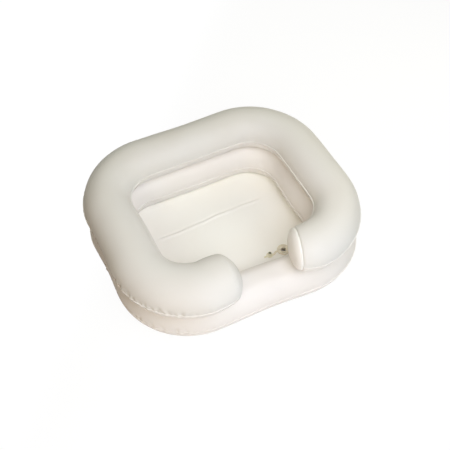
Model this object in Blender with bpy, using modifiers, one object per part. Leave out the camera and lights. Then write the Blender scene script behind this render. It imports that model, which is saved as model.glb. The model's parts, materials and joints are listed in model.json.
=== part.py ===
"""Inflatable shampoo basin: two stacked film tubes, a film floor and a plugged drain.

Metres, +Z up. The neck gap faces -Y, and the origin is at the bottom centre.
Each tube is two flat-cut films welded along an outer and an inner seam.
"""

import math
from dataclasses import dataclass

import bmesh
import bpy
from mathutils import Matrix, Vector

# Film, and the gaps between pieces that touch
FILM = 0.00035
CLEARANCE = 0.0003
LIP_WIDTH = 0.004
CUT_OVERRUN = 0.004
MERGE_DISTANCE = 0.00001

# Lower tube, a closed ring that lies flat on the ground
LOWER_HALF_LENGTH = 0.2513
LOWER_HALF_WIDTH = 0.2035
LOWER_SECTION_HALF_WIDTH = 0.0543
LOWER_SECTION_HALF_HEIGHT = 0.0535
LOWER_CORNER_SWELL = 0.0027
LOWER_LONG_SIDE_DRAW = 0.0035
LOWER_NECK_CROWN = 0.0034

# How far each tube is flattened by the ground or by the other tube
GROUND_FLATTENING = 0.0010
LOWER_TOP_FLATTENING = 0.0042
UPPER_BOTTOM_FLATTENING = 0.0044

# Upper tube, a C that is open at the neck, with its centreline set against the lower one's
UPPER_LENGTH_SET_IN = 0.0003
UPPER_WIDTH_SET_OUT = 0.0043
UPPER_HALF_LENGTH = LOWER_HALF_LENGTH - UPPER_LENGTH_SET_IN
UPPER_HALF_WIDTH = LOWER_HALF_WIDTH + UPPER_WIDTH_SET_OUT
UPPER_SECTION_HALF_WIDTH = 0.0546
UPPER_SECTION_HALF_HEIGHT = 0.0502
UPPER_CORNER_SWELL = 0.0026
UPPER_LONG_SIDE_DRAW = 0.0
LOBE_SWELL = 0.0055
LOBE_INSET = 0.0035
LOBE_STRAIGHT_LENGTH = 0.0220
TOE_IN = 0.0055
TOE_IN_LENGTH = 0.052
END_TAPER = 0.0045
END_TAPER_LENGTH = 0.040

# Both tubes, and what follows from the sizes above
CORNER_RADIUS = 0.130
WAIST = 0.0020
NECK_HALF_WIDTH = UPPER_HALF_LENGTH - CORNER_RADIUS - LOBE_STRAIGHT_LENGTH
LOWER_CENTRE_HEIGHT = LOWER_SECTION_HALF_HEIGHT - GROUND_FLATTENING
CONTACT_HEIGHT = LOWER_CENTRE_HEIGHT + LOWER_SECTION_HALF_HEIGHT - LOWER_TOP_FLATTENING
UPPER_CENTRE_HEIGHT = CONTACT_HEIGHT + UPPER_SECTION_HALF_HEIGHT - UPPER_BOTTOM_FLATTENING

# Film panels that close the two ends of the C
CAP_DEPTH = 0.030

# Floor film
FLOOR_HEIGHT = 0.0122
FLOOR_WELD_DROP = 0.0055

# Drain in the floor, with its tethered stopper lying open beside it. It is placed from the
# lower tube's centreline
DRAIN_TO_RIGHT_SIDE = 0.1298
DRAIN_TO_FRONT_SIDE = 0.0970
DRAIN_X = LOWER_HALF_LENGTH - DRAIN_TO_RIGHT_SIDE
DRAIN_Y = DRAIN_TO_FRONT_SIDE - LOWER_HALF_WIDTH
DRAIN_BORE_RADIUS = 0.006
DRAIN_FLANGE_RADIUS = 0.016
DRAIN_FLANGE_THICKNESS = 0.0014
DRAIN_COLLAR_RADIUS = 0.0088
DRAIN_COLLAR_HEIGHT = 0.0010
STOPPER_DISTANCE = 0.0385
STOPPER_HEAD_RADIUS = 0.008
STOPPER_HEAD_THICKNESS = 0.002
NIPPLE_LENGTH = 0.009
NIPPLE_RADIUS = 0.0054
NIPPLE_WALL = 0.0009
NIPPLE_RUN = 0.00015
STRAP_WIDTH = 0.0050
STRAP_THICKNESS = 0.0012
TAB_LENGTH = 0.0075
TAB_WIDTH = 0.0050
SPIGOT_FLANGE_RADIUS = 0.013
SPIGOT_FLANGE_THICKNESS = 0.0012
SPIGOT_LENGTH = 0.0095
SPIGOT_WALL = 0.0015
SPIGOT_BARB = 0.0010

# Inflation valves, one for each tube, on the back wall
VALVE_FLANGE_RADIUS = 0.0100
VALVE_FLANGE_THICKNESS = 0.0010
VALVE_COLLAR_RADIUS = 0.0066
VALVE_COLLAR_HEIGHT = 0.0015
STEM_RADIUS = 0.0045
STEM_BORE_RADIUS = 0.0032
STEM_DEPTH = 0.0120
STEM_RIM_RADIUS = 0.0058
STEM_RIM_THICKNESS = 0.0010
STEM_BEAD_RADIUS = 0.0051
STEM_BEAD_THICKNESS = 0.0012
PLUG_HEAD_RADIUS = 0.0060
PLUG_HEAD_THICKNESS = 0.0015
PIN_LENGTH = 0.0045
PIN_RADIUS = 0.0029
PIN_RUN = 0.0001
PLUG_HINGE_DISTANCE = 0.0100
VALVE_STRAP_WIDTH = 0.0040
VALVE_STRAP_THICKNESS = 0.0010
PLUG_TAB_LENGTH = 0.0050
FLAP_RADIUS = 0.0042
FLAP_THICKNESS = 0.0005

# Facets
CORNER_STEPS = 8
HALF_SIDE_STEPS = 3
SEAM_TO_FLAT_STEPS = 3
SEAM_TO_CROWN_STEPS = 4
SEAM_TO_GROUND_STEPS = 4
DOME_STEPS = 4
TURNED_STEPS = 32
SMALL_TURNED_STEPS = 24
SMOOTH_ANGLE_SHARE = 0.2

# The facet of the back wall that carries a valve, counted from the middle and from the seam
VALVE_SIDE_FACET = 1
VALVE_SECTION_FACET = 1

IVORY = (0.86, 0.835, 0.77)
BEIGE = (0.62, 0.56, 0.43)
FILM_ROUGHNESS = 0.42
FITTING_ROUGHNESS = 0.35


@dataclass(frozen=True)
class Tube:
    """The centreline and section of one air tube."""

    half_length: float
    half_width: float
    section_half_width: float
    section_half_height: float
    centre_height: float
    corner_swell: float
    long_side_draw: float
    lobe_swell: float = 0.0
    lobe_inset: float = 0.0
    front_start: float = 0.0


@dataclass(frozen=True)
class Station:
    """One section of a tube: its centre, the directions along and outward, and its half sizes."""

    centre: Vector
    along: Vector
    outward: Vector
    half_width: float
    half_height: float


LOWER = Tube(
    LOWER_HALF_LENGTH, LOWER_HALF_WIDTH, LOWER_SECTION_HALF_WIDTH, LOWER_SECTION_HALF_HEIGHT,
    LOWER_CENTRE_HEIGHT, LOWER_CORNER_SWELL, LOWER_LONG_SIDE_DRAW,
)
UPPER = Tube(
    UPPER_HALF_LENGTH, UPPER_HALF_WIDTH, UPPER_SECTION_HALF_WIDTH, UPPER_SECTION_HALF_HEIGHT,
    UPPER_CENTRE_HEIGHT, UPPER_CORNER_SWELL, UPPER_LONG_SIDE_DRAW,
    LOBE_SWELL, LOBE_INSET, NECK_HALF_WIDTH,
)


def clear_scene():
    """Removes every object of the start-up scene."""
    for obj in list(bpy.data.objects):
        bpy.data.objects.remove(obj, do_unlink=True)


def new_collection(name, hidden=False):
    """Adds a collection to the scene."""
    collection = bpy.data.collections.new(name)
    collection.hide_render = hidden
    bpy.context.scene.collection.children.link(collection)
    return collection


def new_material(name, colour, roughness):
    """Makes a plain Principled material."""
    material = bpy.data.materials.new(name)
    material.use_nodes = True
    shader = material.node_tree.nodes["Principled BSDF"]
    shader.inputs["Base Color"].default_value = (*colour, 1.0)
    shader.inputs["Roughness"].default_value = roughness
    shader.inputs["Metallic"].default_value = 0.0
    return material


def new_object(name, bm, collection, colour=IVORY, roughness=FILM_ROUGHNESS):
    """Turns a bmesh into a named object with its own material."""
    mesh = bpy.data.meshes.new(name)
    bm.to_mesh(mesh)
    bm.free()
    mesh.shade_smooth()
    mesh.set_sharp_from_angle(angle=math.pi * SMOOTH_ANGLE_SHARE)
    obj = bpy.data.objects.new(name, mesh)
    obj.data.materials.append(new_material(name, colour, roughness))
    collection.objects.link(obj)
    return obj


def new_empty(name, matrix, collection, parent=None):
    """Adds an empty that marks a joint."""
    empty = bpy.data.objects.new(name, None)
    collection.objects.link(empty)
    place(empty, matrix, parent)
    return empty


def place(obj, matrix, parent=None):
    """Puts an object at a world matrix, under a parent if there is one."""
    bpy.context.view_layer.update()
    if parent is not None:
        obj.parent = parent
        obj.matrix_parent_inverse = parent.matrix_world.inverted()
    obj.matrix_world = matrix


def smooth_step(share):
    """Eases from 0 to 1."""
    share = min(1.0, max(0.0, share))
    return share * share * (3.0 - 2.0 * share)


def half_path(tube):
    """Centreline points of the tube's right half, from the front to the middle of the back."""
    straight_x = tube.half_length - CORNER_RADIUS
    straight_y = tube.half_width - CORNER_RADIUS
    points = []
    for i in range(HALF_SIDE_STEPS):
        x = tube.front_start + (straight_x - tube.front_start) * i / HALF_SIDE_STEPS
        draw = WAIST * math.cos(math.pi / 2 * x / straight_x) ** 2
        points.append(Vector((x, draw - tube.half_width, 0.0)))
    for i in range(CORNER_STEPS):
        turn = math.pi / 2 * i / CORNER_STEPS
        points.append(
            Vector((straight_x + CORNER_RADIUS * math.sin(turn),
                    -straight_y - CORNER_RADIUS * math.cos(turn), 0.0))
        )
    for i in range(2 * HALF_SIDE_STEPS):
        y = straight_y * (i / HALF_SIDE_STEPS - 1.0)
        draw = WAIST * math.cos(math.pi / 2 * y / straight_y) ** 2
        points.append(Vector((tube.half_length - draw, y, 0.0)))
    for i in range(CORNER_STEPS):
        turn = math.pi / 2 * i / CORNER_STEPS
        points.append(
            Vector((straight_x + CORNER_RADIUS * math.cos(turn),
                    straight_y + CORNER_RADIUS * math.sin(turn), 0.0))
        )
    for i in range(HALF_SIDE_STEPS + 1):
        x = straight_x * (1.0 - i / HALF_SIDE_STEPS)
        draw = WAIST * math.cos(math.pi / 2 * x / straight_x) ** 2
        points.append(Vector((x, tube.half_width - draw, 0.0)))
    return points


def direction(points, i):
    """The direction of the path at a point, weighing the nearer neighbour more."""
    if i == 0:
        return (points[1] - points[0]).normalized()
    if i == len(points) - 1:
        return (points[i] - points[i - 1]).normalized()
    before = points[i] - points[i - 1]
    after = points[i + 1] - points[i]
    return (before.normalized() * after.length + after.normalized() * before.length).normalized()


def shaped_stations(tube):
    """Sections along the tube's right half, with its lobe drawn in towards the neck."""
    points = half_path(tube)
    travelled = [0.0]
    for before, after in zip(points, points[1:]):
        travelled.append(travelled[-1] + (after - before).length)
    shares = []
    for point, distance in zip(points, travelled):
        front = max(0.0, -point.y / tube.half_width) ** 4
        shares.append(front / (1.0 + (point.x / tube.half_length) ** 4))
        if tube.front_start > 0.0:
            point.y += tube.lobe_inset * shares[-1]
            point.y += TOE_IN * max(0.0, 1.0 - distance / TOE_IN_LENGTH) ** 2
    stations = []
    for i, point in enumerate(points):
        along = direction(points, i)
        if i == len(points) - 1:
            along = Vector((-1.0, 0.0, 0.0))
        if i == 0 and tube.front_start == 0.0:
            along = Vector((1.0, 0.0, 0.0))
        outward = Vector((along.y, -along.x, 0.0))
        angle = math.atan2(point.y / tube.half_width, point.x / tube.half_length)
        half_width = (
            tube.section_half_width
            + tube.corner_swell * math.sin(2.0 * angle) ** 2
            - tube.long_side_draw * math.sin(angle) ** 2
            + tube.lobe_swell * shares[i]
        )
        half_height = tube.section_half_height
        if tube.front_start > 0.0:
            taper = END_TAPER * max(0.0, 1.0 - travelled[i] / END_TAPER_LENGTH) ** 2
            half_width -= taper
            half_height -= taper
        centre = Vector((point.x, point.y, tube.centre_height))
        stations.append(Station(centre, along, outward, half_width, half_height))
    return stations


def flat_angle(height, half_height):
    """The angle on the section at which the film meets a flat at this height."""
    return math.asin(min(1.0, height / half_height))


def half_section(station, flat, steps, inset=0.0):
    """Section points from the outer seam over to the inner one, as (outward, up) pairs.

    The film lies flat where it would rise over the given height.
    """
    half_width = station.half_width - inset
    half_height = station.half_height - inset
    limit = flat_angle(flat - inset, half_height)
    angles = [limit * (i + 1) / steps for i in range(steps)]
    crown = limit >= math.pi / 2
    angles += [math.pi - angle for angle in reversed(angles[:-1] if crown else angles)]
    points = []
    for angle in angles:
        points.append((half_width * math.cos(angle), half_height * math.sin(angle)))
    return points


def sheet_section(station, flat, steps, side):
    """Outer face of one half of a tube, with the two weld lips. side is 1 for the top film."""
    lip_up = CLEARANCE / 2 + FILM
    edge = station.half_width
    points = [(edge + LIP_WIDTH, lip_up), (edge, lip_up)]
    points += half_section(station, flat, steps)
    points += [(-edge, lip_up), (-edge - LIP_WIDTH, lip_up)]
    return [station.centre + station.outward * out + Vector((0.0, 0.0, side * up)) for out, up in points]


def loft(rows, closed=False):
    """A surface through rows of points, as a bmesh. Its rows run outward side first."""
    bm = bmesh.new()
    grid = [[bm.verts.new(point) for point in row] for row in rows]
    for lower, upper in zip(grid, grid[1:]):
        count = len(lower)
        for i in range(count if closed else count - 1):
            j = (i + 1) % count
            bm.faces.new((lower[i], lower[j], upper[j], upper[i]))
    return bm, grid


def flip(bm):
    """Turns every face round."""
    bmesh.ops.reverse_faces(bm, faces=bm.faces[:])


def add_mirror(obj):
    """Mirrors the right half to the left."""
    mirror = obj.modifiers.new("Mirror", "MIRROR")
    mirror.use_axis = (True, False, False)
    mirror.merge_threshold = MERGE_DISTANCE


def add_film(obj):
    """Gives the surface the film's thickness, away from its outer face."""
    solidify = obj.modifiers.new("Film", "SOLIDIFY")
    solidify.thickness = FILM
    solidify.offset = -1.0
    solidify.use_even_offset = True
    solidify.use_quality_normals = True


def add_cut(obj, cutter):
    """Cuts a hidden object out of this one."""
    boolean = obj.modifiers.new(cutter.name, "BOOLEAN")
    boolean.operation = "DIFFERENCE"
    boolean.object = cutter


def neck_crown(station):
    """How far the lower tube rises between the lobes, where nothing presses on it."""
    tip = NECK_HALF_WIDTH - CAP_DEPTH
    if station.centre.y > 0.0:
        return 0.0
    return LOWER_NECK_CROWN * smooth_step(1.0 - station.centre.x / tip)


def build_sheet(name, tube, side, flat_of, steps, collection):
    """One film of a tube, from its outer seam to its inner seam."""
    rows = []
    for station in shaped_stations(tube):
        rows.append(sheet_section(station, flat_of(station), steps, side))
    bm, _ = loft(rows)
    if side > 0:
        flip(bm)
    obj = new_object(name, bm, collection)
    add_mirror(obj)
    add_film(obj)
    return obj


def build_lower_tube(collection):
    """The two films of the closed lower ring."""
    pressed = CONTACT_HEIGHT - CLEARANCE / 2 - LOWER_CENTRE_HEIGHT
    top = build_sheet(
        "lower_top_sheet", LOWER, 1, lambda s: pressed + neck_crown(s), SEAM_TO_FLAT_STEPS, collection
    )
    build_sheet(
        "lower_bottom_sheet", LOWER, -1, lambda s: LOWER_CENTRE_HEIGHT, SEAM_TO_GROUND_STEPS, collection
    )
    return top


def build_upper_tube(collection):
    """The two films of the C-shaped upper tube."""
    pressed = UPPER_CENTRE_HEIGHT - CONTACT_HEIGHT - CLEARANCE / 2
    build_sheet(
        "upper_top_sheet", UPPER, 1, lambda s: s.half_height, SEAM_TO_CROWN_STEPS, collection
    )
    return build_sheet(
        "upper_bottom_sheet", UPPER, -1, lambda s: pressed, SEAM_TO_FLAT_STEPS, collection
    )


def closed_section(station, pressed, inset):
    """The whole section of the upper tube, inside its films, as (outward, up) pairs."""
    top = half_section(station, station.half_height, SEAM_TO_CROWN_STEPS, inset)
    bottom = half_section(station, pressed, SEAM_TO_FLAT_STEPS, inset)
    edge = station.half_width - inset
    return [(edge, 0.0), *top, (-edge, 0.0), *((out, -up) for out, up in reversed(bottom))]


def section_row(station, ring, scale=1.0, reach=0.0):
    """Points of a section, scaled about its centre and moved out of the tube's end."""
    centre = station.centre - station.along * reach
    return [centre + station.outward * out * scale + Vector((0.0, 0.0, up * scale)) for out, up in ring]


def build_end_cap(name, side, collection):
    """The domed film panel that closes one end of the C. side is 1 on the right.

    Its skirt is lap-welded inside the tube as far as the tube's next section.
    """
    end, inner = shaped_stations(UPPER)[:2]
    inset = FILM + CLEARANCE
    pressed = UPPER_CENTRE_HEIGHT - CONTACT_HEIGHT - CLEARANCE / 2
    ring = closed_section(end, pressed, inset)
    rows = [section_row(inner, closed_section(inner, pressed, inset))]
    for i in range(DOME_STEPS):
        turn = math.pi / 2 * i / DOME_STEPS
        rows.append(section_row(end, ring, math.cos(turn), CAP_DEPTH * math.sin(turn)))
    bm, grid = loft(rows, closed=True)
    pole = bm.verts.new(end.centre - end.along * CAP_DEPTH)
    last = grid[-1]
    for i, vert in enumerate(last):
        bm.faces.new((vert, last[(i + 1) % len(last)], pole))
    if side < 0:
        bmesh.ops.scale(bm, vec=Vector((-1.0, 1.0, 1.0)), verts=bm.verts[:])
    bmesh.ops.recalc_face_normals(bm, faces=bm.faces[:])
    obj = new_object(name, bm, collection)
    add_film(obj)
    return obj


def film_object(name, bm, collection):
    """Mirrors a half of the floor's film to the left and gives it its thickness."""
    obj = new_object(name, bm, collection)
    add_mirror(obj)
    add_film(obj)
    return obj


def underside_point(station, height):
    """Where the floor's film touches the inner side of the lower tube, at a height."""
    half_width = station.half_width + CLEARANCE
    half_height = station.half_height + CLEARANCE
    angle = math.asin((LOWER_CENTRE_HEIGHT - height) / half_height)
    inward = station.outward * half_width * math.cos(angle)
    return Vector((station.centre.x, station.centre.y, height)) - inward


def build_floor(collection):
    """The flat floor film, which reaches the lower tube all round."""
    bm = bmesh.new()
    edge = [bm.verts.new(underside_point(station, FLOOR_HEIGHT)) for station in shaped_stations(LOWER)]
    bm.faces.new(edge)
    bm.normal_update()
    if bm.faces[:][0].normal.z < 0.0:
        flip(bm)
    return film_object("floor_sheet", bm, collection)


def build_floor_weld(collection):
    """The band at the floor's edge, turned down and welded to the lower tube's underside."""
    top = FLOOR_HEIGHT - FILM - CLEARANCE
    rows = []
    for station in shaped_stations(LOWER):
        rows.append([underside_point(station, top), underside_point(station, top - FLOOR_WELD_DROP)])
    bm, _ = loft(rows)
    bm.normal_update()
    if bm.faces[:][0].normal.z < 0.0:
        flip(bm)
    film_object("floor_weld_band", bm, collection)


def turned(name, profile, steps, collection, bored=True):
    """A turned fitting: (radius, height) points that run down its outer side.

    A bored profile is closed on itself, and a plain one starts and ends on the axis.
    """
    bm = bmesh.new()
    verts = [bm.verts.new((radius, 0.0, height)) for radius, height in profile]
    for before, after in zip(verts, verts[1:]):
        bm.edges.new((before, after))
    if bored:
        bm.edges.new((verts[-1], verts[0]))
    obj = new_object(name, bm, collection, BEIGE, FITTING_ROUGHNESS)
    screw = obj.modifiers.new("Turn", "SCREW")
    screw.steps = steps
    screw.render_steps = steps
    screw.use_merge_vertices = True
    screw.merge_threshold = MERGE_DISTANCE
    return obj


def slab(name, low, high, collection):
    """A flat strip of a fitting, as a box between two corners."""
    bm = bmesh.new()
    size = Vector(high) - Vector(low)
    centre = (Vector(high) + Vector(low)) / 2
    bmesh.ops.create_cube(bm, size=1.0)
    bmesh.ops.scale(bm, vec=size, verts=bm.verts[:])
    bmesh.ops.translate(bm, vec=centre, verts=bm.verts[:])
    return new_object(name, bm, collection, BEIGE, FITTING_ROUGHNESS)


def add_union(obj, other):
    """Joins a hidden object to this one."""
    boolean = obj.modifiers.new(other.name, "BOOLEAN")
    boolean.operation = "UNION"
    boolean.object = other


def hide(obj):
    """Marks a helper that is only cut or joined with."""
    obj.hide_render = True
    obj.display_type = "WIRE"


def bore_cutter(name, radius, low, high, steps, cutters):
    """A plain cylinder on the Z axis to cut with."""
    bm = bmesh.new()
    bmesh.ops.create_cone(
        bm, cap_ends=True, segments=steps, radius1=radius, radius2=radius, depth=high - low
    )
    bmesh.ops.translate(bm, vec=Vector((0.0, 0.0, (high + low) / 2)), verts=bm.verts[:])
    obj = new_object(name, bm, cutters)
    hide(obj)
    return obj


def tip_radius(hinge_distance, bore_radius, run, drop):
    """Radius of a pin's tip that swings into its bore about a hinge beside it and just clears."""
    return math.sqrt((hinge_distance + bore_radius - run) ** 2 - drop**2) - hinge_distance


def build_drain(floor, collection, cutters):
    """The drain's flange, spigot, strap and stopper, and the hole in the floor."""
    centre = Matrix.Translation((DRAIN_X, DRAIN_Y, FLOOR_HEIGHT))
    bottom = CLEARANCE
    flange_top = bottom + DRAIN_FLANGE_THICKNESS
    seat = flange_top + DRAIN_COLLAR_HEIGHT
    flange = turned(
        "drain_flange",
        [
            (DRAIN_BORE_RADIUS, seat), (DRAIN_COLLAR_RADIUS, seat), (DRAIN_COLLAR_RADIUS, flange_top),
            (DRAIN_FLANGE_RADIUS, flange_top), (DRAIN_FLANGE_RADIUS, bottom), (DRAIN_BORE_RADIUS, bottom),
        ],
        TURNED_STEPS, collection,
    )
    place(flange, centre)

    under = -FILM - CLEARANCE
    ledge = under - SPIGOT_FLANGE_THICKNESS
    mouth = under - SPIGOT_LENGTH
    tube = DRAIN_BORE_RADIUS + SPIGOT_WALL
    spigot = turned(
        "drain_spigot",
        [
            (DRAIN_BORE_RADIUS, under), (SPIGOT_FLANGE_RADIUS, under), (SPIGOT_FLANGE_RADIUS, ledge),
            (tube, ledge), (tube, mouth + 3 * SPIGOT_BARB), (tube + SPIGOT_BARB, mouth + 2 * SPIGOT_BARB),
            (tube, mouth), (DRAIN_BORE_RADIUS, mouth),
        ],
        TURNED_STEPS, collection,
    )
    place(spigot, centre)

    hole = bore_cutter(
        "drain_hole", DRAIN_BORE_RADIUS, -FILM - CUT_OVERRUN, CUT_OVERRUN, TURNED_STEPS, cutters
    )
    place(hole, centre)
    add_cut(floor, hole)

    # The strap folds over half-way between the stopper and the drain
    hinge_x = DRAIN_X - STOPPER_DISTANCE / 2
    hinge_up = (seat + CLEARANCE + STOPPER_HEAD_THICKNESS + bottom) / 2
    hinge = new_empty(
        "drain_stopper_hinge",
        Matrix.Translation((hinge_x, DRAIN_Y, FLOOR_HEIGHT + hinge_up)),
        collection,
    )
    strap_top = bottom + STRAP_THICKNESS
    root = slab(
        "drain_strap_root",
        (hinge_x - DRAIN_X + CLEARANCE / 2, -STRAP_WIDTH / 2, bottom),
        (-DRAIN_FLANGE_RADIUS - CLEARANCE, STRAP_WIDTH / 2, strap_top),
        collection,
    )
    place(root, centre)
    stopper_centre = Matrix.Translation((DRAIN_X - STOPPER_DISTANCE, DRAIN_Y, FLOOR_HEIGHT))
    tip = slab(
        "drain_strap_tip",
        (STOPPER_HEAD_RADIUS + CLEARANCE, -STRAP_WIDTH / 2, bottom),
        (STOPPER_DISTANCE / 2 - CLEARANCE / 2, STRAP_WIDTH / 2, strap_top),
        collection,
    )
    place(tip, stopper_centre, hinge)

    head_top = bottom + STOPPER_HEAD_THICKNESS
    nipple_top = head_top + NIPPLE_LENGTH
    reach = hinge_up - (seat + CLEARANCE - NIPPLE_LENGTH)
    tip_size = tip_radius(STOPPER_DISTANCE / 2, DRAIN_BORE_RADIUS, NIPPLE_RUN, reach)
    stopper = turned(
        "drain_stopper",
        [
            (0.0, head_top), (NIPPLE_RADIUS - NIPPLE_WALL, head_top), (tip_size - NIPPLE_WALL, nipple_top),
            (tip_size, nipple_top), (NIPPLE_RADIUS, head_top), (STOPPER_HEAD_RADIUS, head_top),
            (STOPPER_HEAD_RADIUS, bottom), (0.0, bottom),
        ],
        TURNED_STEPS, collection, bored=False,
    )
    place(stopper, stopper_centre, hinge)
    tab = slab(
        "drain_stopper_tab",
        (-STOPPER_HEAD_RADIUS - TAB_LENGTH, -TAB_WIDTH / 2, bottom),
        (-STOPPER_HEAD_RADIUS + TAB_WIDTH / 2, TAB_WIDTH / 2, strap_top),
        cutters,
    )
    hide(tab)
    place(tab, stopper_centre, hinge)
    add_union(stopper, tab)


def facet_frame(tube, flat_of, steps, side, x_side):
    """The middle of one facet of the back wall, with X along the tube and Z outward."""
    stations = shaped_stations(tube)
    last = len(stations) - 1 - VALVE_SIDE_FACET
    corners = []
    for station in (stations[last], stations[last - 1]):
        points = half_section(station, flat_of(station), steps)
        for out, up in points[VALVE_SECTION_FACET - 1 : VALVE_SECTION_FACET + 1]:
            corners.append(station.centre + station.outward * out + Vector((0.0, 0.0, side * up)))
    middle = sum(corners, Vector()) / len(corners)
    along = (corners[2] + corners[3] - corners[0] - corners[1]).normalized()
    outward = along.cross(corners[1] - corners[0]).normalized()
    if outward.y < 0.0:
        outward = -outward
    if x_side < 0:
        middle.x, along.x, outward.x = -middle.x, -along.x, -outward.x
        along = -along
    across = outward.cross(along)
    matrix = Matrix((along, across, outward)).transposed().to_4x4()
    matrix.translation = middle
    return matrix


def build_valve(name, frame, film, collection, cutters):
    """One inflation valve: flange, sliding stem, check flap, and a plug on its strap."""
    flange_top = CLEARANCE + VALVE_FLANGE_THICKNESS
    collar_top = flange_top + VALVE_COLLAR_HEIGHT
    hole_radius = STEM_RADIUS + CLEARANCE
    flange = turned(
        f"{name}_flange",
        [
            (hole_radius, collar_top), (VALVE_COLLAR_RADIUS, collar_top), (VALVE_COLLAR_RADIUS, flange_top),
            (VALVE_FLANGE_RADIUS, flange_top), (VALVE_FLANGE_RADIUS, CLEARANCE), (hole_radius, CLEARANCE),
        ],
        SMALL_TURNED_STEPS, collection,
    )
    place(flange, frame)
    hole = bore_cutter(
        f"{name}_hole", STEM_BEAD_RADIUS + CLEARANCE, -CUT_OVERRUN, CUT_OVERRUN, SMALL_TURNED_STEPS, cutters
    )
    place(hole, frame)
    add_cut(film, hole)

    slide = new_empty(f"{name}_slide", frame, collection)
    rim_bottom = collar_top + CLEARANCE
    rim_top = rim_bottom + STEM_RIM_THICKNESS
    bead_top = STEM_BEAD_THICKNESS - STEM_DEPTH
    stem = turned(
        f"{name}_stem",
        [
            (STEM_BORE_RADIUS, rim_top), (STEM_RIM_RADIUS, rim_top), (STEM_RIM_RADIUS, rim_bottom),
            (STEM_RADIUS, rim_bottom), (STEM_RADIUS, bead_top), (STEM_BEAD_RADIUS, bead_top),
            (STEM_BEAD_RADIUS, -STEM_DEPTH), (STEM_BORE_RADIUS, -STEM_DEPTH),
        ],
        SMALL_TURNED_STEPS, collection,
    )
    place(stem, frame, slide)

    head_bottom = rim_top + CLEARANCE
    hinge_up = rim_top + CLEARANCE / 2
    hinge = new_empty(
        f"{name}_plug_hinge",
        frame @ Matrix.Translation((-PLUG_HINGE_DISTANCE, 0.0, hinge_up)),
        collection, slide,
    )
    root = slab(
        f"{name}_strap_root",
        (-PLUG_HINGE_DISTANCE + CLEARANCE / 2, -VALVE_STRAP_WIDTH / 2, rim_top - VALVE_STRAP_THICKNESS),
        (-STEM_RIM_RADIUS - CLEARANCE, VALVE_STRAP_WIDTH / 2, rim_top),
        collection,
    )
    place(root, frame, slide)
    tip = slab(
        f"{name}_strap_tip",
        (-PLUG_HINGE_DISTANCE + CLEARANCE / 2, -VALVE_STRAP_WIDTH / 2, head_bottom),
        (-PLUG_HEAD_RADIUS - CLEARANCE, VALVE_STRAP_WIDTH / 2, head_bottom + VALVE_STRAP_THICKNESS),
        collection,
    )
    place(tip, frame, hinge)

    head_top = head_bottom + PLUG_HEAD_THICKNESS
    reach = hinge_up - (head_bottom - PIN_LENGTH)
    tip_size = tip_radius(PLUG_HINGE_DISTANCE, STEM_BORE_RADIUS, PIN_RUN, reach)
    plug = turned(
        f"{name}_plug",
        [
            (0.0, head_top), (PLUG_HEAD_RADIUS, head_top), (PLUG_HEAD_RADIUS, head_bottom),
            (PIN_RADIUS, head_bottom), (tip_size, head_bottom - PIN_LENGTH), (0.0, head_bottom - PIN_LENGTH),
        ],
        SMALL_TURNED_STEPS, collection, bored=False,
    )
    place(plug, frame, hinge)
    tab = slab(
        f"{name}_plug_tab",
        (PLUG_HEAD_RADIUS - VALVE_STRAP_WIDTH / 2, -VALVE_STRAP_WIDTH / 2, head_bottom),
        (PLUG_HEAD_RADIUS + PLUG_TAB_LENGTH, VALVE_STRAP_WIDTH / 2, head_bottom + VALVE_STRAP_THICKNESS),
        cutters,
    )
    hide(tab)
    place(tab, frame, hinge)
    add_union(plug, tab)

    flap_top = -STEM_DEPTH - CLEARANCE
    flap_hinge = new_empty(
        f"{name}_flap_hinge",
        frame @ Matrix.Translation((-FLAP_RADIUS, 0.0, flap_top)),
        collection, slide,
    )
    flap = turned(
        f"{name}_flap",
        [
            (0.0, flap_top), (FLAP_RADIUS, flap_top), (FLAP_RADIUS, flap_top - FLAP_THICKNESS),
            (0.0, flap_top - FLAP_THICKNESS),
        ],
        SMALL_TURNED_STEPS, collection, bored=False,
    )
    place(flap, frame, flap_hinge)


def build():
    """Builds the whole basin."""
    clear_scene()
    parts = new_collection("shampoo_basin")
    cutters = new_collection("cutters", hidden=True)
    lower_top = build_lower_tube(parts)
    upper_bottom = build_upper_tube(parts)
    build_end_cap("left_end_cap", -1, parts)
    build_end_cap("right_end_cap", 1, parts)
    floor = build_floor(parts)
    build_floor_weld(parts)
    build_drain(floor, parts, cutters)
    upper_pressed = UPPER_CENTRE_HEIGHT - CONTACT_HEIGHT - CLEARANCE / 2
    lower_pressed = CONTACT_HEIGHT - CLEARANCE / 2 - LOWER_CENTRE_HEIGHT
    upper_frame = facet_frame(UPPER, lambda s: upper_pressed, SEAM_TO_FLAT_STEPS, -1, -1)
    lower_frame = facet_frame(LOWER, lambda s: lower_pressed, SEAM_TO_FLAT_STEPS, 1, 1)
    build_valve("upper_valve", upper_frame, upper_bottom, parts, cutters)
    build_valve("lower_valve", lower_frame, lower_top, parts, cutters)
    bpy.context.view_layer.update()
    for empty in [obj for obj in parts.objects if obj.type == "EMPTY"]:
        place_of = [round(value, 5) for value in empty.matrix_world.translation]
        across = [round(value, 5) for value in empty.matrix_world.to_3x3() @ Vector((0.0, 1.0, 0.0))]
        outward = [round(value, 5) for value in empty.matrix_world.to_3x3() @ Vector((0.0, 0.0, 1.0))]
        print(f"{empty.name}: at {place_of}, Y {across}, Z {outward}")


build()
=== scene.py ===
"""Portable shampoo basin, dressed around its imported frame.

Two stacked air tubes of welded film, the C-shaped upper one closed by two end panels, a film
floor, a drain with a tethered stopper, and an inflation valve for each tube. Metres, +Z up, and
the neck gap faces -Y.
"""

import json
import logging
import math
from collections.abc import Callable
from dataclasses import dataclass
from enum import Enum

import bmesh
import bpy
import numpy as np
from mathutils import Euler, Matrix, Vector


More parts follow.
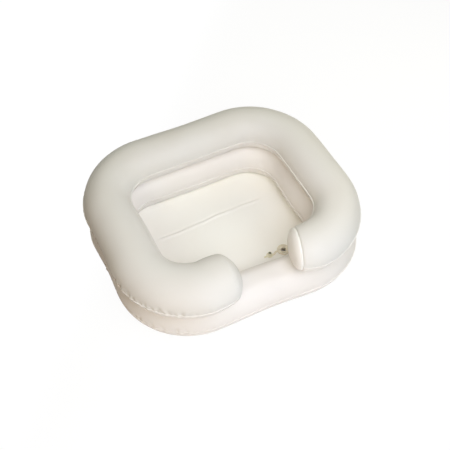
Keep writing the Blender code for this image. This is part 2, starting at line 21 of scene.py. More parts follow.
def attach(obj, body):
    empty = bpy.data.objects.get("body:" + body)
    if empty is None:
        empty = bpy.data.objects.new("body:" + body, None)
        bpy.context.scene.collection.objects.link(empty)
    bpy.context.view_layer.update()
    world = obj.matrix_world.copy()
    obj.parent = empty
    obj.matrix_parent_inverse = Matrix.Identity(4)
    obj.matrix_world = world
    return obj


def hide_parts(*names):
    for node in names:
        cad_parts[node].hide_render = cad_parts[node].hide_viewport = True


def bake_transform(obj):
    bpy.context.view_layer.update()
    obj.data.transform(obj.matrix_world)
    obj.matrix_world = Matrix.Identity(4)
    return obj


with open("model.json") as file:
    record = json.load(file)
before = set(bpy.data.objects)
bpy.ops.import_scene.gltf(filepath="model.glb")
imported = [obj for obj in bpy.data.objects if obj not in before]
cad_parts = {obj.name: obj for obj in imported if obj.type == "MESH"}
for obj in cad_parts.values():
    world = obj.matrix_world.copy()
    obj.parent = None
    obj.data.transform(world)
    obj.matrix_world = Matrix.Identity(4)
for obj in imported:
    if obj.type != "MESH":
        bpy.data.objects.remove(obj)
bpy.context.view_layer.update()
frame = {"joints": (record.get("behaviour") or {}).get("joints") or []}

Array = np.ndarray
Colour = tuple[float, float, float, float]
Material = bpy.types.Material
Object = bpy.types.Object

LOG = logging.getLogger("shampoo_basin")

FILM = 0.00035
CLEARANCE = 0.0003
OUTER_LIP = 0.0020
INNER_LIP = 0.0026
LIP_SHARES = (1.0, 0.55, 0.12)
MERGE_DISTANCE = 0.00001
BORE_REACH = 0.010
QUARTER_TURN = math.pi / 2
FULL_TURN = 2.0 * math.pi
FILM_SLOT = "ivory_film"
TURNED_SIDES = 72
SHARP_DEGREES = 40.0
BEVEL_DEGREES = 30.0
SHADE_MARGIN = 0.0002
SHADE_REACH = 0.0020
STRAP_COLUMNS = 9
STRAP_ROUNDING = 0.3
WHITE = (1.0, 1.0, 1.0, 1.0)
MIX_SHARE, MIX_FIRST, MIX_SECOND, MIX_RESULT = 0, 6, 7, 2


# Shader arithmetic


def math_operator(operation: str, reflected: bool = False) -> Callable[..., "Reading"]:
    """Makes an operator of Reading that adds one Math node.

    Args:
        operation: The node's operation.
        reflected: Whether the other value comes first.

    Returns:
        The operator, as a method.
    """
    def method(self: "Reading", other: "Reading | float") -> "Reading":
        """Adds the node to this value and another."""
        return self._math(operation, *((other, self) if reflected else (self, other)))

    return method


class Reading:
    """A shader socket that takes part in arithmetic, one Math node for each operator."""

    def __init__(self, recipe: "Recipe", socket: bpy.types.NodeSocket) -> None:
        """Keeps the socket and the recipe whose tree it belongs to."""
        self.recipe = recipe
        self.socket = socket

    def _math(self, operation: str, *values: "Reading | float") -> "Reading":
        """Adds one Math node on the given values."""
        return self.recipe.node("ShaderNodeMath", {"operation": operation}, dict(enumerate(values)))

    __add__ = math_operator("ADD")
    __radd__ = math_operator("ADD", reflected=True)
    __sub__ = math_operator("SUBTRACT")
    __rsub__ = math_operator("SUBTRACT", reflected=True)
    __mul__ = math_operator("MULTIPLY")
    __rmul__ = math_operator("MULTIPLY", reflected=True)
    larger = math_operator("MAXIMUM")

    def sine(self) -> "Reading":
        """The sine of this value."""
        return self._math("SINE", self)

    def eased(self, low: float, high: float) -> "Reading":
        """Eases from 0 at low to 1 at high, and never leaves 0 to 1."""
        settings = {"interpolation_type": "SMOOTHSTEP"}
        return self.recipe.node("ShaderNodeMapRange", settings, {0: self, 1: low, 2: high})


class Recipe:
    """The nodes of one material or of the world."""

    def __init__(self, tree: bpy.types.NodeTree) -> None:
        """Starts from a node tree as Blender made it."""
        self.tree = tree

    def node(
        self, kind: str, settings: dict[str, object], values: dict[int | str, object],
        output: int | str = 0,
    ) -> Reading:
        """Adds one node.

        Args:
            kind: The node's type.
            settings: Its settings, which are set first.
            values: A value or a Reading for each input, by its number or name.
            output: The output to read.

        Returns:
            That output.
        """
        made = self.tree.nodes.new(kind)
        for name, value in settings.items():
            setattr(made, name, value)
        for key, value in values.items():
            self.feed(made.inputs[key], value)
        return Reading(self, made.outputs[output])

    def feed(self, socket: bpy.types.NodeSocket, value: object) -> None:
        """Links a Reading to a socket, or sets the socket's own value.

        Args:
            socket: The socket.
            value: The Reading, or the value.
        """
        if isinstance(value, Reading):
            self.tree.links.new(value.socket, socket)
        else:
            socket.default_value = value

    def blend(self, share: Reading, first: Reading | Colour, second: Reading | Colour) -> Reading:
        """Mixes two colours, with share saying how much of the second there is."""
        values = {MIX_SHARE: share, MIX_FIRST: first, MIX_SECOND: second}
        return self.node("ShaderNodeMix", {"data_type": "RGBA"}, values, MIX_RESULT)

    def noise(self, where: Reading, scale: float, detail: float = 2.0) -> Reading:
        """Smooth noise from 0 to 1, scale times a metre."""
        values = {"Vector": where, "Scale": scale, "Detail": detail}
        return self.node("ShaderNodeTexNoise", {}, values)

    def mix_shaders(self, share: Reading, first: Reading, second: Reading, end: str) -> None:
        """Mixes two shaders into the tree's surface.

        Args:
            share: How much of the second shader there is.
            first: The first shader.
            second: The second shader.
            end: The name of the tree's last node.
        """
        mixed = self.node("ShaderNodeMixShader", {}, {0: share, 1: first, 2: second})
        self.feed(self.tree.nodes[end].inputs["Surface"], mixed)

    def seen(self) -> Reading:
        """Tells the rays that make the picture from those that only carry light.

        Returns:
            1 for rays from the camera, off gloss or through clear film, and 0 for the others.
        """
        camera, gloss, clear = (
            self.node("ShaderNodeLightPath", {}, {}, f"Is {kind} Ray")
            for kind in ("Camera", "Glossy", "Transmission")
        )
        return camera.larger(gloss).larger(clear)


class Surface(Recipe):
    """The nodes of a new material, round the Principled shader that it starts with."""

    def __init__(self, name: str) -> None:
        """Makes the material.

        Args:
            name: The material's name.
        """
        self.material = bpy.data.materials.new(name)
        self.material.use_nodes = True
        super().__init__(self.material.node_tree)
        self.shader = self.tree.nodes["Principled BSDF"]
        self.place = self.node("ShaderNodeTexCoord", {}, {}, "Object")

    def attribute(self, name: str) -> Reading:
        """The number that a mesh's points carry under a name, or 0 where they don't."""
        return self.node("ShaderNodeAttribute", {"attribute_name": name}, {}, "Fac")

    def relief(self, height: Reading) -> Reading:
        """The normal of a relief whose height is in metres."""
        return self.node("ShaderNodeBump", {}, {"Strength": 1.0, "Distance": 1.0, "Height": height})

    def finished(self, values: dict[str, object]) -> Material:
        """Feeds the shader.

        Args:
            values: A value or a Reading for each of its sockets, by name.

        Returns:
            The material.
        """
        for name, value in values.items():
            self.feed(self.shader.inputs[name], value)
        return self.material


def linear(red: int, green: int, blue: int) -> Colour:
    """Turns a colour of 0 to 255 steps into the linear colour that a shader takes."""
    steps = [step / 255.0 for step in (red, green, blue)]
    return *(step / 12.92 if step <= 0.04045 else ((step + 0.055) / 1.055) ** 2.4 for step in steps), 1.0


# Finishes


@dataclass(frozen=True)
class FilmFinish:
    """Satin ivory PVC film, with a fine pebbled grain, a pressed hatch in its welds and painted shade along
    a tucked outer weld.
    """

    name: str = "ivory_film"
    colour: Colour = linear(217, 214, 209)
    tint: Colour = linear(214, 210, 204)
    tint_edge: tuple[float, float] = (0.35, 0.75)
    weld: Colour = linear(226, 222, 217)
    weld_edge: tuple[float, float] = (-0.0006, 0.0004)
    weld_share: float = 0.8
    # Painted shade: the brown that the film is darkened towards beside a tucked outer weld.
    painted_crevice_shade: Colour = linear(150, 122, 106)
    painted_crevice_shade_share: float = 0.75
    roughness: float = 0.50
    roughness_swing: float = 0.10
    specular: float = 0.3
    weld_polish: float = 0.12
    cloud_scale: float = 7.0
    fine_cloud_scale: float = 38.0
    grain_scale: float = 900.0
    grain_height: float = 0.000022
    ripple_scales: tuple[float, float] = (85.0, 12.0)
    ripple_height: float = 0.00016
    ripple_reach: float = 0.016
    hatch_pitch: float = 0.0016
    hatch_height: float = 0.00008

    def material(self) -> Material:
        """Makes the material.

        Returns:
            The material, which reads the mesh's along, from_seam and tucked attributes; tucked says where
            shade is painted beside the outer weld.
        """
        made = Surface(self.name)
        along, from_seam = made.attribute("along"), made.attribute("from_seam")
        weld = 1.0 - from_seam.eased(*self.weld_edge)
        cloud = made.noise(made.place, self.cloud_scale)
        fine_cloud = made.noise(made.place, self.fine_cloud_scale)
        tinted = made.blend(cloud.eased(*self.tint_edge), self.colour, self.tint)
        welded = made.blend(weld * self.weld_share, tinted, self.weld)
        grain = made.noise(made.place, self.grain_scale, 1.0) * self.grain_height
        hatch = (along * (FULL_TURN / self.hatch_pitch)).sine() * weld * self.hatch_height
        lengthwise, crosswise = self.ripple_scales
        over_seam = made.node("ShaderNodeCombineXYZ", {}, {0: along * lengthwise, 1: from_seam * crosswise})
        reach = 1.0 - from_seam.eased(0.0, self.ripple_reach)
        ripple = made.noise(over_seam, 1.0, 1.0) * reach * self.ripple_height
        # Painted shade: the film darkens to brown where the tucked attribute marks the tucked weld's
        # groove.
        crevice_shade_mask = made.attribute("tucked") * self.painted_crevice_shade_share
        uneven = (fine_cloud - 0.5) * self.roughness_swing
        return made.finished({
            "Base Color": made.blend(crevice_shade_mask, welded, self.painted_crevice_shade),
            "Roughness": self.roughness + uneven - weld * self.weld_polish,
            "Normal": made.relief(grain + hatch + ripple),
            "Specular IOR Level": self.specular,
        })


# Lighter copies of the film, as painted light: the lower films, the right end panel and the floor are given
# paler colours to stand in for light that their shaded places lack.
LIGHTENED_LOWER_FINISH, LIGHTENED_PANEL_FINISH, LIGHTENED_FLOOR_FINISH = (
    FilmFinish(f"ivory_{part}_film", linear(*colour), linear(*tint), weld=linear(*weld))
    for part, colour, tint, weld in (
        ("lower", (230, 225, 221), (227, 221, 216), (232, 227, 222)),
        ("panel", (234, 231, 226), (231, 227, 222), (226, 222, 216)),
        ("floor", (253, 251, 245), (251, 248, 241), (251, 248, 241)),
    )
)


@dataclass(frozen=True)
class FittingFinish:
    """Soft moulded PVC, slightly cloudy, with a fine grain and a bore that light hardly reaches."""

    name: str = "beige_fitting"
    colour: Colour = linear(236, 226, 207)
    tint: Colour = linear(221, 210, 188)
    tint_edge: tuple[float, float] = (0.3, 0.7)
    shade: Colour = linear(74, 60, 40)
    shade_share: float = 0.95
    roughness: float = 0.34
    roughness_swing: float = 0.14
    cloud_scale: float = 160.0
    grain_scale: float = 1800.0
    grain_height: float = 0.000012
    subsurface: float = 0.15
    subsurface_radius: tuple[float, float, float] = (0.004, 0.003, 0.002)

    def material(self) -> Material:
        """Makes the material.

        Returns:
            The material, which reads the mesh's inside attribute.
        """
        made = Surface(self.name)
        cloud = made.noise(made.place, self.cloud_scale)
        grain = made.noise(made.place, self.grain_scale, 1.0)
        tinted = made.blend(cloud.eased(*self.tint_edge), self.colour, self.tint)
        return made.finished({
            "Base Color": made.blend(made.attribute("inside") * self.shade_share, tinted, self.shade),
            "Roughness": self.roughness + (cloud - 0.5) * self.roughness_swing,
            "Normal": made.relief(grain * self.grain_height),
            "Subsurface Weight": self.subsurface,
            "Subsurface Radius": self.subsurface_radius,
            "Subsurface Scale": 1.0,
        })


PALE_FITTING_FINISH = FittingFinish("pale_beige_fitting", linear(238, 232, 208), linear(226, 218, 190))


@dataclass(frozen=True)
class FlapFinish:
    """Thin clear PVC of the check flaps."""

    name: str = "clear_flap"
    colour: Colour = linear(232, 230, 222)
    roughness: float = 0.22
    roughness_swing: float = 0.1
    cloud_scale: float = 400.0
    transmission: float = 0.55
    refraction: float = 1.5

    def material(self) -> Material:
        """Makes the material.

        Returns:
            The material.
        """
        made = Surface(self.name)
        return made.finished({
            "Base Color": self.colour,
            "Roughness": self.roughness + made.noise(made.place, self.cloud_scale) * self.roughness_swing,
            "Transmission Weight": self.transmission,
            "IOR": self.refraction,
        })


@dataclass(frozen=True)
class Dressing:
    """A material and the record's slot for it."""

    material: Material
    slot: str


# Work bench


def deselect_all() -> None:
    """Leaves edit mode and deselects every object."""
    if bpy.context.mode != "OBJECT":
        bpy.ops.object.mode_set(mode="OBJECT")
    bpy.ops.object.select_all(action="DESELECT")


def choose(obj: Object) -> None:
    """Selects one object and makes it the active one.

    Args:
        obj: The object.
    """
    deselect_all()
    obj.select_set(True)
    bpy.context.view_layer.objects.active = obj


def named(name: str) -> Object:
    """Names the active object and its mesh, and returns it.

    Args:
        name: The name.

    Returns:
        The active object.
    """
    obj = bpy.context.active_object
    obj.name = name
    obj.data.name = name
    return obj


def edit_whole(obj: Object, edit: Callable[..., object], **settings: object) -> None:
    """Runs an edit mode operator on all of a mesh.

    Args:
        obj: The piece.
        edit: The operator.
        settings: The operator's settings.
    """
    choose(obj)
    bpy.ops.object.mode_set(mode="EDIT")
    bpy.ops.mesh.select_all(action="SELECT")
    edit(**settings)
    bpy.ops.object.mode_set(mode="OBJECT")


def merge_doubles(obj: Object) -> None:
    """Closes a mesh where its edges meet."""
    edit_whole(obj, bpy.ops.mesh.remove_doubles, threshold=MERGE_DISTANCE)


def apply_modifier(obj: Object, kind: str, **settings: object) -> None:
    """Adds a modifier and applies it.

    Args:
        obj: The object that takes it.
        kind: The modifier's type.
        settings: The modifier's settings.
    """
    choose(obj)
    modifier = obj.modifiers.new(kind.title(), kind)
    for name, value in settings.items():
        setattr(modifier, name, value)
    bpy.ops.object.modifier_apply(modifier=modifier.name)


def apply_place(obj: Object, place: Matrix) -> None:
    """Moves an object to a place and writes the place into its mesh.

    Args:
        obj: The object.
        place: The place.
    """
    choose(obj)
    obj.matrix_world = place
    bpy.ops.object.transform_apply(location=True, rotation=True, scale=True)


def grid_sheet(name: str, points: Array) -> Object:
    """Adds a grid and sets its points.

    Args:
        name: The piece's name.
        points: The points, row after row, as an array of rows by columns by 3.

    Returns:
        The grid as an object at the origin.
    """
    deselect_all()
    rows, columns, _ = points.shape
    bpy.ops.mesh.primitive_grid_add(x_subdivisions=columns - 1, y_subdivisions=rows - 1, size=1.0)
    obj = named(name)
    if len(obj.data.vertices) != rows * columns:
        raise ValueError(f"{name}: the grid has {len(obj.data.vertices)} points, not {rows * columns}")
    obj.data.vertices.foreach_set("co", points.astype(np.float32).ravel())
    obj.data.update()
    return obj


def paint(obj: Object, name: str, values: Array) -> None:
    """Writes one number for each point of a mesh as an attribute."""
    layer = obj.data.attributes.new(name, "FLOAT", "POINT")
    layer.data.foreach_set("value", values.astype(np.float32).ravel())


def face_up(obj: Object, up: float) -> None:
    """Turns a sheet's faces so that its first face looks up, or down where up is below zero."""
    if obj.data.polygons[0].normal.z * up < 0.0:
        edit_whole(obj, bpy.ops.mesh.flip_normals)


def bore(obj: Object, place: Matrix, radius: float) -> None:
    """Opens a round hole in a sheet.

    Args:
        obj: The sheet, before it has its thickness.
        place: The hole's place, its Z through the sheet.
        radius: The hole's radius.
    """
    back = place.inverted()
    mesh = bmesh.new()
    mesh.from_mesh(obj.data)
    gone = []
    for face in mesh.faces:
        middle = back @ face.calc_center_median()
        if middle.xy.length < radius and abs(middle.z) < BORE_REACH:
            gone.append(face)
    rim = {vert for face in gone for vert in face.verts}
    bmesh.ops.delete(mesh, geom=gone, context="FACES")
    for vert in rim:
        if vert.is_valid:
            point = back @ vert.co
            vert.co = place @ Vector((*(point.xy.normalized() * radius), point.z))
    mesh.to_mesh(obj.data)
    mesh.free()


def smooth(obj: Object, degrees: float = 180.0) -> None:
    """Shades a piece smooth up to an angle between its faces.

    Args:
        obj: The piece.
        degrees: The angle.
    """
    choose(obj)
    if degrees >= 180.0:
        bpy.ops.object.shade_smooth()
    else:
        bpy.ops.object.shade_smooth_by_angle(angle=math.radians(degrees))


def dress(obj: Object, finish: Dressing) -> None:
    """Gives a piece its material.

    Args:
        obj: The piece.
        finish: Its material and slot.
    """
    obj.data.materials.clear()
    obj.data.materials.append(finish.material)
    LOG.info("%s: %d faces", obj.name, len(obj.data.polygons))


def finish_film(obj: Object, nodes: tuple[str, ...], material: Material) -> None:
    """Gives a sheet the film's thickness, away from its outer face, and hands it over.

    Args:
        obj: The sheet.
        nodes: The CAD nodes that it stands for.
        material: Its material.
    """
    apply_modifier(
        obj, "SOLIDIFY", thickness=FILM, offset=-1.0, use_even_offset=True, use_quality_normals=True
    )
    smooth(obj)
    dress(obj, Dressing(material, FILM_SLOT))
    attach(obj, "basin")
    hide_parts(*nodes)


def ease(share: Array) -> Array:
    """Eases from 0 to 1, value by value."""
    share = np.clip(share, 0.0, 1.0)
    return share * share * (3.0 - 2.0 * share)


# Air tubes


class Film(Enum):
    """Which half of a tube a film makes."""

    TOP = 1
    BOTTOM = -1


@dataclass(frozen=True)
class Swell:
    """How a tube departs from its regular shape about one bearing of the plan, in degrees.

    0 is the right side, 90 the back and -90 the neck gap.
    """

    bearing: float
    fatter: float
    outward: float


@dataclass(frozen=True)
class TubeEnd:
    """One end of the C: where it stops and how its panel closes it."""

    reach: float
    toe_in: float
    toe_length: float
    width_taper: float
    height_taper: float
    taper_length: float
    dome_depth: float
    pinch: float
    flatness: float = 0.0
    settles: bool = False
    pinch_width: float = 0.0022

    def toe(self, distance: Array) -> Array:
        """How far in the line stands at each distance from the end, settling square if it settles."""
        share = np.clip(1.0 - distance / self.toe_length, 0.0, 1.0)
        return self.toe_in * (ease(share) if self.settles else share ** 2)

    def pinched(self, distance: float | Array) -> float | Array:
        """How far the panel's weld draws the film in at a distance from the end."""
        return self.pinch * np.exp(-((distance / self.pinch_width) ** 2))


@dataclass(frozen=True)
class TubeSizes:
    """The regular shape of one air tube."""

    half_length: float
    half_width: float
    section_half_width: float
    section_half_height: float
    centre_height: float
    flat_above: float
    flat_below: float
    corner_swell: float
    long_side_draw: float
    lobe_swell: float = 0.0
    lobe_inset: float = 0.0
    neck_crown: float = 0.0
    neck_half_width: float = 0.069
    corner_radius: float = 0.130
    waist: float = 0.0020
    flat_softness: float = 0.0014
    swells: tuple[Swell, ...] = ()
    swell_reach: float = 45.0
    puckers: tuple[float, ...] = ()
    tucked: float = -176.0
    tucked_reach: float = 16.0
    ends: tuple[TubeEnd, ...] = ()


def degrees_apart(bearing: Array, mark: float) -> Array:
    """How many degrees each bearing is from a mark, the short way round."""
    return np.abs((bearing - mark + 180.0) % 360.0 - 180.0)


def bearing_of(points: Array) -> Array:
    """The bearing in degrees of each point of the plan."""
    return np.degrees(np.arctan2(points[:, 1], points[:, 0]))


class Centreline:
    """A tube's centreline as even stations, with the section's half sizes at each."""

    STEP = 0.001

    def __init__(self, sizes: TubeSizes, count: int) -> None:
        """Lays out the stations.

        Args:
            sizes: The tube's regular shape.
            count: How many stations there are.
        """
        self.sizes = sizes
        self.closed = not sizes.ends
        points = self._plan()
        share = self._lobe_share(points)
        points[:, 1] += sizes.lobe_inset * share
        for end, distance in self.from_ends(self._travelled(points)):
            points[:, 1] += end.toe(distance)
        angle = np.arctan2(points[:, 1] / sizes.half_width, points[:, 0] / sizes.half_length)
        points = points + self._outward(points) * self._swelling(angle, "outward")[:, None]
        half_width = (
            sizes.section_half_width
            + sizes.corner_swell * np.sin(2.0 * angle) ** 2
            - sizes.long_side_draw * np.sin(angle) ** 2
            + sizes.lobe_swell * share
            + self._swelling(angle, "fatter")
        )
        half_height = np.full(len(points), sizes.section_half_height)
        travelled = self._travelled(points)
        for end, distance in self.from_ends(travelled):
            taper = np.clip(1.0 - distance / end.taper_length, 0.0, 1.0) ** 2
            half_width -= end.width_taper * taper
            half_height -= end.height_taper * taper
        self.along = np.linspace(0.0, travelled[-1], count)
        self.length = float(travelled[-1])
        columns = (*points.T, half_width, half_height)
        x, y, self.half_width, self.half_height = (
            np.interp(self.along, travelled, column) for column in columns
        )
        self.points = np.stack([x, y], axis=1)
        self.outward = self._outward(self.points)

    def _plan(self) -> Array:
        """The rounded rectangle from the right end round to the left one."""
        right, left = (end.reach for end in self.sizes.ends) if self.sizes.ends else (0.0, 0.0)
        return np.concatenate([self._half(right), (self._half(left) * (-1.0, 1.0))[-2::-1]])

    def _steps(self, length: float) -> int:
        """How many points a length of the plan has."""
        return int(length / self.STEP)

    def _waisted(self, half: float, place: Array, straight: float) -> Array:
        """A straight side's distance from the middle, drawn in at its own middle."""
        return half - self.sizes.waist * np.cos(QUARTER_TURN * place / straight) ** 2

    def _half(self, start: float) -> Array:
        """The right half of the plan, from the front to the middle of the back.

        Args:
            start: The X that it starts at.

        Returns:
            Its points.
        """
        sizes = self.sizes
        radius = sizes.corner_radius
        straight_x, straight_y = sizes.half_length - radius, sizes.half_width - radius
        corner = np.linspace(0.0, QUARTER_TURN, self._steps(radius * QUARTER_TURN))[:-1]
        front_x = np.linspace(start, straight_x, self._steps(straight_x - start))[:-1]
        side_y = np.linspace(-straight_y, straight_y, self._steps(2.0 * straight_y))[:-1]
        back_x = np.linspace(straight_x, 0.0, self._steps(straight_x))
        pieces = [
            (front_x, -self._waisted(sizes.half_width, front_x, straight_x)),
            (straight_x + radius * np.sin(corner), -straight_y - radius * np.cos(corner)),
            (self._waisted(sizes.half_length, side_y, straight_y), side_y),
            (straight_x + radius * np.cos(corner), straight_y + radius * np.sin(corner)),
            (back_x, self._waisted(sizes.half_width, back_x, straight_x)),
        ]
        return np.concatenate([np.stack(piece, axis=1) for piece in pieces])

    def _lobe_share(self, points: Array) -> Array:
        """How much each point belongs to the lobes beside the neck gap."""
        front = np.maximum(0.0, -points[:, 1] / self.sizes.half_width) ** 4
        return front / (1.0 + (points[:, 0] / self.sizes.half_length) ** 4)

    def _swelling(self, angle: Array, what: str) -> Array:
        """Adds up one field of the swells.

        Args:
            angle: Bearings in radians.
            what: The field's name.

        Returns:
            The sum at each bearing.
        """
        total = np.zeros(len(angle))
        for swell in self.sizes.swells:
            away = degrees_apart(np.degrees(angle), swell.bearing)
            total += getattr(swell, what) * ease(1.0 - away / self.sizes.swell_reach)
        return total

    def from_ends(self, travelled: Array) -> list[tuple[TubeEnd, Array]]:
        """Each end with every point's distance from it."""
        return list(zip(self.sizes.ends, (travelled, travelled[-1] - travelled)))

    def _outward(self, points: Array) -> Array:
        """The level direction away from the basin's middle.

        Args:
            points: The line's points.

        Returns:
            The direction at each point.
        """
        if self.closed:
            ring = np.concatenate([points[-2:-1], points, points[1:2]])
            step = ring[2:] - ring[:-2]
        else:
            step = np.gradient(points, axis=0)
        step /= np.linalg.norm(step, axis=1)[:, None]
        return np.stack([step[:, 1], -step[:, 0]], axis=1)

    @staticmethod
    def _travelled(points: Array) -> Array:
        """How far along the line each point is."""
        return np.concatenate([[0.0], np.cumsum(np.linalg.norm(np.diff(points, axis=0), axis=1))])


@dataclass(frozen=True)
class GatherSizes:
    """The small gathers that a flat-cut film makes where its weld is too long for the tube."""

    seed: int
    force: float = 0.45
    on_straights: float = 0.22
    in_corners: float = 1.0
    spacing: float = 0.021
    spacing_swing: float = 0.45
    width: float = 0.0026
    widening: float = 0.14
    reach: float = 0.015
    depth: float = 0.0036
    fold_offset: float = 0.75
    seam_share: float = 0.35
    seam_reach: float = 0.004
    leaning: float = 0.35
    wave: float = 0.0008
    wave_width: float = 0.33
    bulge: float = 0.8
    marked: tuple[float, ...] = ()
    marked_force: float = 1.25
    least_force: float = 0.45
    least_stretch: float = 0.7
    most_stretch: float = 1.3
    marked_least_force: float = 0.7
    marked_least_stretch: float = 1.0


class Gathers:
    """Gathers along one weld, stronger round the corners."""

    def __init__(self, line: Centreline, sizes: GatherSizes, turning: Array) -> None:
        """Places the gathers.

        Args:
            line: The tube's centreline.
            sizes: The gathers' sizes.
            turning: How sharply the line turns at each station, from 0 to 1.
        """
        self.line = line
        self.sizes = sizes
        self.draw = np.random.default_rng(sizes.seed)
        self.places: list[tuple[float, float, float, float]] = []
        strength = sizes.force * np.clip(sizes.on_straights + sizes.in_corners * turning, 0.0, 1.0)
        place = sizes.spacing
        while place < line.length - sizes.spacing / 2:
            force = float(np.interp(place, line.along, strength))
            self._gather(place, force, sizes.least_force, sizes.least_stretch)
            swing = self.draw.uniform(1.0 - sizes.spacing_swing, 1.0 + sizes.spacing_swing)
            place += sizes.spacing * swing
        bearing = bearing_of(line.points + line.outward * line.half_width[:, None])
        for mark in sizes.marked:
            nearest = int(np.argmin(degrees_apart(bearing, mark)))
            self._gather(
                float(line.along[nearest]), sizes.marked_force, sizes.marked_least_force,
                sizes.marked_least_stretch,
            )

    def _gather(self, place: float, force: float, least_force: float, least_stretch: float) -> None:
        """Adds one gather, drawing its force, stretch and lean.

        Args:
            place: Where it is along the line.
            force: The most force that it can have.
            least_force: The least share of that force.
            least_stretch: The least that it is stretched.
        """
        self.places.append((
            place, force * self.draw.uniform(least_force, 1.0),
            self.draw.uniform(least_stretch, self.sizes.most_stretch),
            self.draw.uniform(-1.0, 1.0),
        ))

    def _apart(self, place: float) -> Array:
        """Each station's distance from a place, the short way round a closed tube.

        Args:
            place: A distance along the line.

        Returns:
            The distances, with their signs.
        """
        apart = self.line.along - place
        if self.line.closed:
            half = self.line.length / 2.0
            apart = (apart + half) % self.line.length - half
        return apart

    def creases(self, depth_in: Array) -> Array:
        """How far the film is drawn in at each station and distance from the weld.

        Args:
            depth_in: Distances from the weld over the film.

        Returns:
            One row for each station and one column for each distance.
        """
        sizes = self.sizes
        total = np.zeros((len(self.line.along), len(depth_in)))
        near = sizes.seam_share + (1.0 - sizes.seam_share) * ease(depth_in / sizes.seam_reach)
        for place, force, stretch, lean in self.places:
            fade = np.clip(1.0 - depth_in / (sizes.reach * stretch), 0.0, 1.0) ** 2 * near
            width = sizes.width * stretch + sizes.widening * depth_in
            apart = (self._apart(place)[:, None] - lean * sizes.leaning * depth_in) / width
            fold = np.exp(-((apart + sizes.fold_offset) ** 2))
            fold -= sizes.bulge * np.exp(-((apart - sizes.fold_offset) ** 2))
            total += sizes.depth * force * fold * fade
        return total

    def wave(self) -> Array:
        """How far the weld itself waves up and down at each station.

        Returns:
            The weld's rise at each station.
        """
        total = np.zeros(len(self.line.along))
        for place, force, stretch, lean in self.places:
            width = self.sizes.spacing * self.sizes.wave_width * stretch
            total += self.sizes.wave * force * lean * np.exp(-((self._apart(place) / width) ** 2))
        return total


